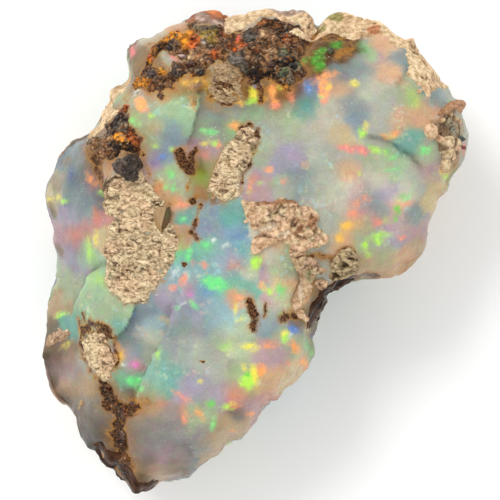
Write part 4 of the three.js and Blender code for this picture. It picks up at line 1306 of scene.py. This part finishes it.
class Shader:
    """A few short names for building a material's nodes."""

    def __init__(self, name):
        """A new material, and places on the stone in millimetres for its nodes."""
        self.material = bpy.data.materials.new(name)
        self.material.use_nodes = True
        self.tree = self.material.node_tree
        self.main = self.tree.nodes["Principled BSDF"]
        where = self.add("ShaderNodeTexCoord").outputs["Object"]
        self.mm = self.add("ShaderNodeVectorMath", {0: where}, operation="SCALE", Scale=1 / MM)

    def feed(self, socket, value):
        """Links a value that comes from a node to a socket, or sets the socket to a plain value."""
        if isinstance(value, bpy.types.Node):
            value = value.outputs[0]
        if isinstance(value, bpy.types.NodeSocket):
            self.tree.links.new(value, socket)
        elif socket.type == "RGBA" and isinstance(value, tuple):
            socket.default_value = (*value, 1)
        else:
            socket.default_value = value

    def add(self, kind, inputs=(), **settings):
        """A new node, with its settings, its named inputs and its numbered inputs."""
        node = self.tree.nodes.new(kind)
        for key, value in settings.items():
            if key in node.inputs:
                node.inputs[key].default_value = value
            else:
                setattr(node, key, value)
        for key, value in dict(inputs).items():
            self.feed(node.inputs[key], value)
        return node

    def number(self, name):
        """A number stored for each point."""
        return self.add("ShaderNodeAttribute", attribute_name=name).outputs["Fac"]

    def colour(self, name):
        """A colour stored for each point."""
        return self.add("ShaderNodeAttribute", attribute_name=name).outputs["Color"]

    def noise(self, size, detail=2.0, where=None, twist=0.0, grit=0.5):
        """Noise with lumps about `size` millimetres across, from 0 to 1; `grit` is its details' share."""
        node = self.add("ShaderNodeTexNoise", {"Vector": where or self.mm}, Scale=1 / size, Detail=detail,
                        Distortion=twist, Roughness=grit)
        return node.outputs["Fac"]

    def tints(self, size):
        """A random colour in each ragged grain about `size` millimetres across."""
        bend = self.add("ShaderNodeTexNoise", {"Vector": self.mm}, Scale=1.5 / size, Detail=2.0)
        inputs = {0: bend.outputs["Color"], 1: (size,) * 3, 2: self.mm}
        bent = self.add("ShaderNodeVectorMath", inputs, operation="MULTIPLY_ADD")
        node = self.add("ShaderNodeTexVoronoi", {"Vector": bent}, Scale=1 / size, Randomness=1.0)
        return node.outputs["Color"]

    def math(self, operation, a, b=0.0, c=0.0):
        """Arithmetic with up to three numbers."""
        return self.add("ShaderNodeMath", {0: a, 1: b, 2: c}, operation=operation).outputs[0]

    def span(self, value, low, high, start=0.0, end=1.0):
        """A smooth run from `start` to `end` as the value goes from `low` to `high`."""
        node = self.add("ShaderNodeMapRange", {0: value, 1: low, 2: high, 3: start, 4: end})
        node.interpolation_type = "SMOOTHSTEP"
        return node.outputs[0]

    def mix(self, share, a, b, kind="MIX"):
        """Moves colour a towards b, or blends them in another way."""
        inputs = {0: share, 6: a, 7: b}
        node = self.add("ShaderNodeMix", data_type="RGBA", blend_type=kind, clamp_factor=True)
        for key, value in inputs.items():
            self.feed(node.inputs[key], value)
        return node.outputs[2]

    def times(self, colour, share, low, high):
        """Multiplies a colour by one that runs from `low` to `high`."""
        return self.mix(1.0, colour, self.mix(share, low, high), "MULTIPLY")

    def bump(self, height, depth):
        """Fine relief, `depth` millimetres deep."""
        node = self.add("ShaderNodeBump", {"Height": height}, Strength=1.0, Distance=depth * MM)
        self.feed(self.main.inputs["Normal"], node)

    def set(self, **values):
        """Sets the surface's own inputs and gives its material."""
        for key, value in values.items():
            self.feed(self.main.inputs[key.replace("_", " ")], value)
        return self.material


def opal_material():
    """Milky opal with its play of colour, and the iron that has stained it."""
    s = Shader("opal")
    milk = s.mix(0.1, s.colour("milk"), s.tints(0.5), "SOFT_LIGHT")
    milk = s.times(milk, s.noise(1.3, 4.0, grit=0.6), (0.65, 0.63, 0.55), (1.1, 1.06, 0.93))
    milk = s.times(milk, s.noise(0.12, 3.0, grit=0.6), (0.76, 0.76, 0.76), (1.2, 1.2, 1.2))
    colour = stained(s, glinting(s, flashing(s, pinfire(s, milk), milk)))
    s.bump(s.noise(0.5, 5.0), 0.03)
    return s.set(Base_Color=colour, Roughness=s.span(s.noise(0.7, 3.0), 0.3, 0.7, 0.15, 0.35), IOR=1.2)


def pinfire(s, milk):
    """Small flecks of every colour in the milk, more of them in some places than in others."""
    picks = s.add("ShaderNodeSeparateColor", {0: s.tints(0.23)}).outputs
    hue = s.span(picks[0], 0.0, 1.0, 0.0, 0.56)
    fleck = s.add("ShaderNodeCombineColor", {0: hue, 1: 0.5, 2: 0.8}, mode="HSV").outputs[0]
    often = s.span(s.noise(2.0, 3.0), 0.48, 0.66)
    chosen = s.math("MULTIPLY", s.span(picks[1], 0.62, 0.95, 0.0, 0.28), often)
    bright = s.add("ShaderNodeSeparateColor", {0: milk}).outputs[1]
    return s.mix(s.math("MULTIPLY", chosen, s.span(bright, 0.2, 0.34)), milk, fleck)


def flashing(s, colour, milk):
    """The flashes on a colour, with ragged edges, yellow veins and milk showing through them."""
    ragged = s.math("MULTIPLY_ADD", s.noise(0.25, 4.0, grit=0.65), 0.34, -0.15)
    edge = s.math("ADD", s.number("flash_depth"), ragged)
    flash = s.mix(s.span(s.noise(0.25, 3.0), 0.52, 0.72, 0.0, 0.26), s.colour("flash"), (0.9, 0.85, 0.3))
    flash = s.mix(s.span(s.noise(0.35, 3.0), 0.5, 0.34, 0.0, 0.5), flash, milk)
    return s.mix(s.span(edge, -0.16, 0.22, 0.0, 0.84), colour, flash)


def glinting(s, colour):
    """Painted glints: tiny white highlights on a colour, in some places only."""
    points = s.span(s.noise(0.11, 1.0), 0.71, 0.75)
    return s.mix(s.math("MULTIPLY", points, s.span(s.noise(2.2, 2.0), 0.54, 0.66, 0.0, 0.6)), colour, GLINT_WHITE)


def stained(s, colour):
    """Iron's stain on a colour: amber where it is weak, then rust, then speckled dark brown. The same colours
    make the painted shade under the knob and in the notch.
    """
    rough = s.math("MULTIPLY_ADD", s.noise(0.4, 8.0, grit=0.72), 1.6, -0.8)
    rust = s.math("ADD", s.number("stain"), rough)
    fine = s.noise(0.13, 4.0, grit=0.7)
    core = s.mix(s.span(fine, 0.4, 0.62), (0.012, 0.006, 0.004), (0.16, 0.07, 0.028))
    edge = s.mix(s.span(s.noise(0.9, 2.0), 0.42, 0.6), (0.16, 0.06, 0.012), (0.42, 0.17, 0.01))
    colour = s.mix(s.span(rust, 0.05, 0.6, 0.0, 0.42), colour, (0.36, 0.2, 0.07))
    colour = s.mix(s.span(rust, 0.3, 0.75, 0.0, 0.66), colour, edge)
    return s.mix(s.span(s.math("MULTIPLY_ADD", fine, -0.5, rust), 0.34, 0.58), colour, core)


def tuff_material():
    """Pale tuff with fine pores that lie across it, painted shade in its pores and hollows and painted light
    on its ridges.
    """
    s = Shader("tuff")
    lying = s.add("ShaderNodeMapping", {0: s.mm}, Rotation=(0, 0, 0.4), Scale=(0.6, 1, 1))
    pores = s.noise(0.17, 8.0, lying.outputs[0], 0.6, 0.68)
    # painted shade in the pores and hollows of the bump and painted light on its ridges; the deepest pores
    # are painted nearly black
    colour = s.times(s.colour("paint"), s.span(pores, 0.36, 0.62), (0.52, 0.45, 0.35), (1.6, 1.58, 1.54))
    colour = s.mix(s.span(pores, 0.37, 0.31, 0.0, 0.9), colour, (0.06, 0.035, 0.018))
    s.bump(pores, 0.45)
    return s.set(Base_Color=colour, Roughness=0.88, Specular_IOR_Level=0.2)


def feldspar_material():
    """Pale crumbs and weathered rock, smoother than the tuff, with painted shade in their hollows."""
    s = Shader("feldspar")
    rough = s.noise(0.3, 8.0, grit=0.62)
    # painted shade in the hollows of the bump
    colour = s.times(s.colour("paint"), s.span(rough, 0.34, 0.62), (0.58, 0.48, 0.36), (1.06, 1.03, 0.98))
    pits = s.span(s.noise(0.14, 3.0, grit=0.6), 0.37, 0.32, 0.0, 0.7)
    colour = s.mix(pits, colour, (0.16, 0.09, 0.045))
    s.bump(rough, 0.3)
    return s.set(Base_Color=colour, Roughness=0.7, Specular_IOR_Level=0.3)


def iron_material():
    """Iron oxide: dark, rusty and pale crumbs, some of them shiny, with painted shade between them and
    painted light on them.
    """
    s = Shader("iron")
    crumbs = s.noise(0.3, 8.0, grit=0.7)
    picks = s.add("ShaderNodeSeparateColor", {0: s.tints(0.15)}).outputs
    # painted shade between the crumbs and painted light on them, following the bump
    colour = s.times(s.colour("paint"), s.span(crumbs, 0.36, 0.64), (0.14, 0.1, 0.07), (2.1, 1.95, 1.7))
    colour = s.mix(s.span(picks[0], 0.88, 0.94, 0.0, 0.6), colour, (0.46, 0.32, 0.2))
    colour = s.mix(s.span(picks[1], 0.86, 0.92, 0.0, 0.5), colour, (0.4, 0.15, 0.02))
    colour = s.mix(s.span(picks[2], 0.8, 0.88, 0.0, 0.6), colour, (0.02, 0.012, 0.01))
    s.bump(crumbs, 0.3)
    gloss = s.span(s.noise(0.3, 2.0), 0.4, 0.6, 0.2, 0.6)
    return s.set(Base_Color=colour, Roughness=gloss, Specular_IOR_Level=0.2)


def clast_material():
    """A dark glossy rock, with small painted glints."""
    s = Shader("clast")
    shade = s.span(s.noise(0.28, 8.0, grit=0.75), 0.36, 0.66)
    colour = s.times(s.colour("paint"), shade, (0.1, 0.08, 0.07), (1.9, 1.8, 1.7))
    # painted glints: small pale specks
    pale = s.span(s.noise(0.12, 3.0, grit=0.6), 0.6, 0.7, 0.0, 0.7)
    colour = s.mix(pale, colour, (0.4, 0.34, 0.28))
    s.bump(s.noise(0.4, 8.0, grit=0.7), 0.35)
    return s.set(Base_Color=colour, Roughness=0.25, Specular_IOR_Level=0.3)


def glass_material():
    """Dark brown glassy opal, with a few brighter wisps; also the painted shade under the knob and in the
    notch.
    """
    s = Shader("glass")
    wisps = s.span(s.noise(0.7, 5.0, grit=0.6), 0.35, 0.65)
    colour = s.times(s.colour("paint"), wisps, (0.5, 0.45, 0.4), (1.3, 1.25, 1.2))
    s.bump(s.noise(0.5, 4.0), 0.04)
    return s.set(Base_Color=colour, Roughness=0.2, IOR=1.08)


def crystal_material():
    """Clear and cloudy crystals, with painted shade on the faces that look to the right, and finely striped.
    """
    s = Shader("crystal")
    facing = s.add("ShaderNodeSeparateXYZ", {0: s.add("ShaderNodeNewGeometry").outputs["True Normal"]})
    along = s.add("ShaderNodeMapping", {0: s.mm}, Rotation=(0, 0, 0.3), Scale=(5, 0.8, 1))
    stripes = s.noise(0.5, 4.0, along.outputs[0])
    colour = s.times(s.colour("paint"), stripes, (0.6, 0.58, 0.52), (1.4, 1.4, 1.4))
    # painted shade on the faces that look to the right, a little painted light on those that look to the left
    colour = s.times(colour, s.span(facing.outputs[0], -0.5, 0.55), (1.1, 1.08, 1.0), (0.42, 0.36, 0.3))
    return s.set(Base_Color=colour, Roughness=0.15, Transmission_Weight=0.25)


def floor_material():
    """Plain white paper."""
    paper = bpy.data.materials.new("floor")
    paper.use_nodes = True
    inputs = paper.node_tree.nodes["Principled BSDF"].inputs
    inputs["Base Color"].default_value = (0.95, 0.95, 0.95, 1)
    inputs["Roughness"].default_value = 0.8
    return paper


MATERIALS = {
    "opal": opal_material(),
    "host_rock": tuff_material(),
    "ironstone": iron_material(),
    "crystal": crystal_material(),
    "clast": clast_material(),
    "feldspar": feldspar_material(),
    "glass": glass_material(),
}
# The kinds of patch that don't look like the rest of their slot.
LOOKS = {
    "crumbly": "feldspar",
    "smooth": "feldspar",
    "nodules": "feldspar",
    "lump": "clast",
    "glass": "glass",
}


# ---------------------------------------------------------------- making the stone

FIRST_SEED, SEED_STEP = 40, 7  # of the patches' noises


def finished(piece, look):
    """Gives a piece its material and ties it to the stone's body."""
    piece.data.materials.append(MATERIALS[look])
    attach(piece, "root")


def make_body(solid):
    """The opal itself, and the rim that its patches are drawn to as well."""
    body = subdivided(solid, "opal_body", 2)
    points, normals = places_and_normals(body)
    raised = points + normals * stone_relief(points, normals)[:, None]
    rim = Rim(raised)
    place(body, rim.fit(raised))
    milk, flash_depth, flash = milk_and_flashes(rim.fit(points), normals)
    keep_colour(body, "milk", milk)
    keep_colour(body, "flash", flash)
    keep_number(body, "flash_depth", flash_depth)
    keep_number(body, "stain", stain(rim.fit(points), normals))
    finished(body, "opal")
    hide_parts(NODE)
    return body, rim


def make_patches(coarse, rim):
    """The patches of rock and iron, each with a seed of its own."""
    for number, patch in enumerate(PATCHES + FAR_PATCHES):
        piece = patch_piece(patch, FIRST_SEED + SEED_STEP * number, coarse, rim)
        finished(piece, LOOKS.get(patch.kind, patch.slot))


def make_grains(body):
    """The loose grains and crystals that rest on the opal."""
    surface = BVHTree.FromObject(body, bpy.context.evaluated_depsgraph_get())
    for group in CRUMBS:
        finished(crumb_piece(group, surface), group["look"])
    finished(brown_crystal(surface), "crystal")


def make_stone():
    """Every piece of the stone."""
    solid = welded(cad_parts[NODE], "solid")
    coarse = subdivided(solid, "coarse", 1)
    body, rim = make_body(solid)
    make_patches(coarse, rim)
    make_grains(body)
    bpy.data.objects.remove(coarse)
    bpy.data.objects.remove(solid)


# ---------------------------------------------------------------- floor, camera and light

LENS = 600  # focal length in millimetres: so long that the stone is seen almost without perspective
SENSOR = 36  # width in millimetres
AIM_HEIGHT = 0.008  # metres above the floor at which the photograph's scale is exact
OVERHEAD = 0.25  # strength of the light from where the camera stands
AROUND = 1.2  # strength of the light from everywhere else


def floor():
    """The white paper that the stone lies on."""
    bpy.ops.mesh.primitive_plane_add(size=2)
    paper = bpy.context.object
    paper.name = "floor"
    paper.data.materials.append(floor_material())


def camera():
    """The photograph's camera, straight above the middle of the picture."""
    data = bpy.data.cameras.new("camera")
    data.lens = LENS
    data.sensor_width = SENSOR
    data.clip_end = 10
    obj = linked(bpy.data.objects.new("camera", data))
    reach = PHOTO / PX_PER_MM * LENS / SENSOR * MM
    obj.location = (*plan((PHOTO / 2, PHOTO / 2))[0] * MM, AIM_HEIGHT + reach)
    bpy.context.scene.camera = obj


def sun(name, direction, energy, angle):
    """A sun that shines from a direction; its angle is how wide it looks, in degrees."""
    data = bpy.data.lights.new(name, "SUN")
    data.energy = energy
    data.angle = math.radians(angle)
    obj = linked(bpy.data.objects.new(name, data))
    obj.rotation_mode = "QUATERNION"
    obj.rotation_quaternion = Vector(direction).to_track_quat("Z", "Y")


def studio():
    """Soft white light from all round, with a dim opening overhead where the camera stands."""
    world = bpy.data.worlds.new("studio")
    bpy.context.scene.world = world
    world.use_nodes = True
    nodes, links = world.node_tree.nodes, world.node_tree.links
    direction = nodes.new("ShaderNodeTexCoord")
    height = nodes.new("ShaderNodeSeparateXYZ")
    opening = nodes.new("ShaderNodeMapRange")
    opening.interpolation_type = "SMOOTHSTEP"
    opening.inputs["From Min"].default_value = 0.8
    opening.inputs["From Max"].default_value = 0.97
    opening.inputs["To Min"].default_value = AROUND
    opening.inputs["To Max"].default_value = OVERHEAD
    links.new(direction.outputs["Generated"], height.inputs[0])
    links.new(height.outputs["Z"], opening.inputs["Value"])
    links.new(opening.outputs[0], nodes["Background"].inputs["Strength"])
    nodes["Background"].inputs["Color"].default_value = (1, 1, 1, 1)


make_stone()
floor()
camera()
sun("key", direction=(-0.6, 0.7, 1.0), energy=1.4, angle=25)
studio()
bpy.context.scene.view_settings.view_transform = "Standard"
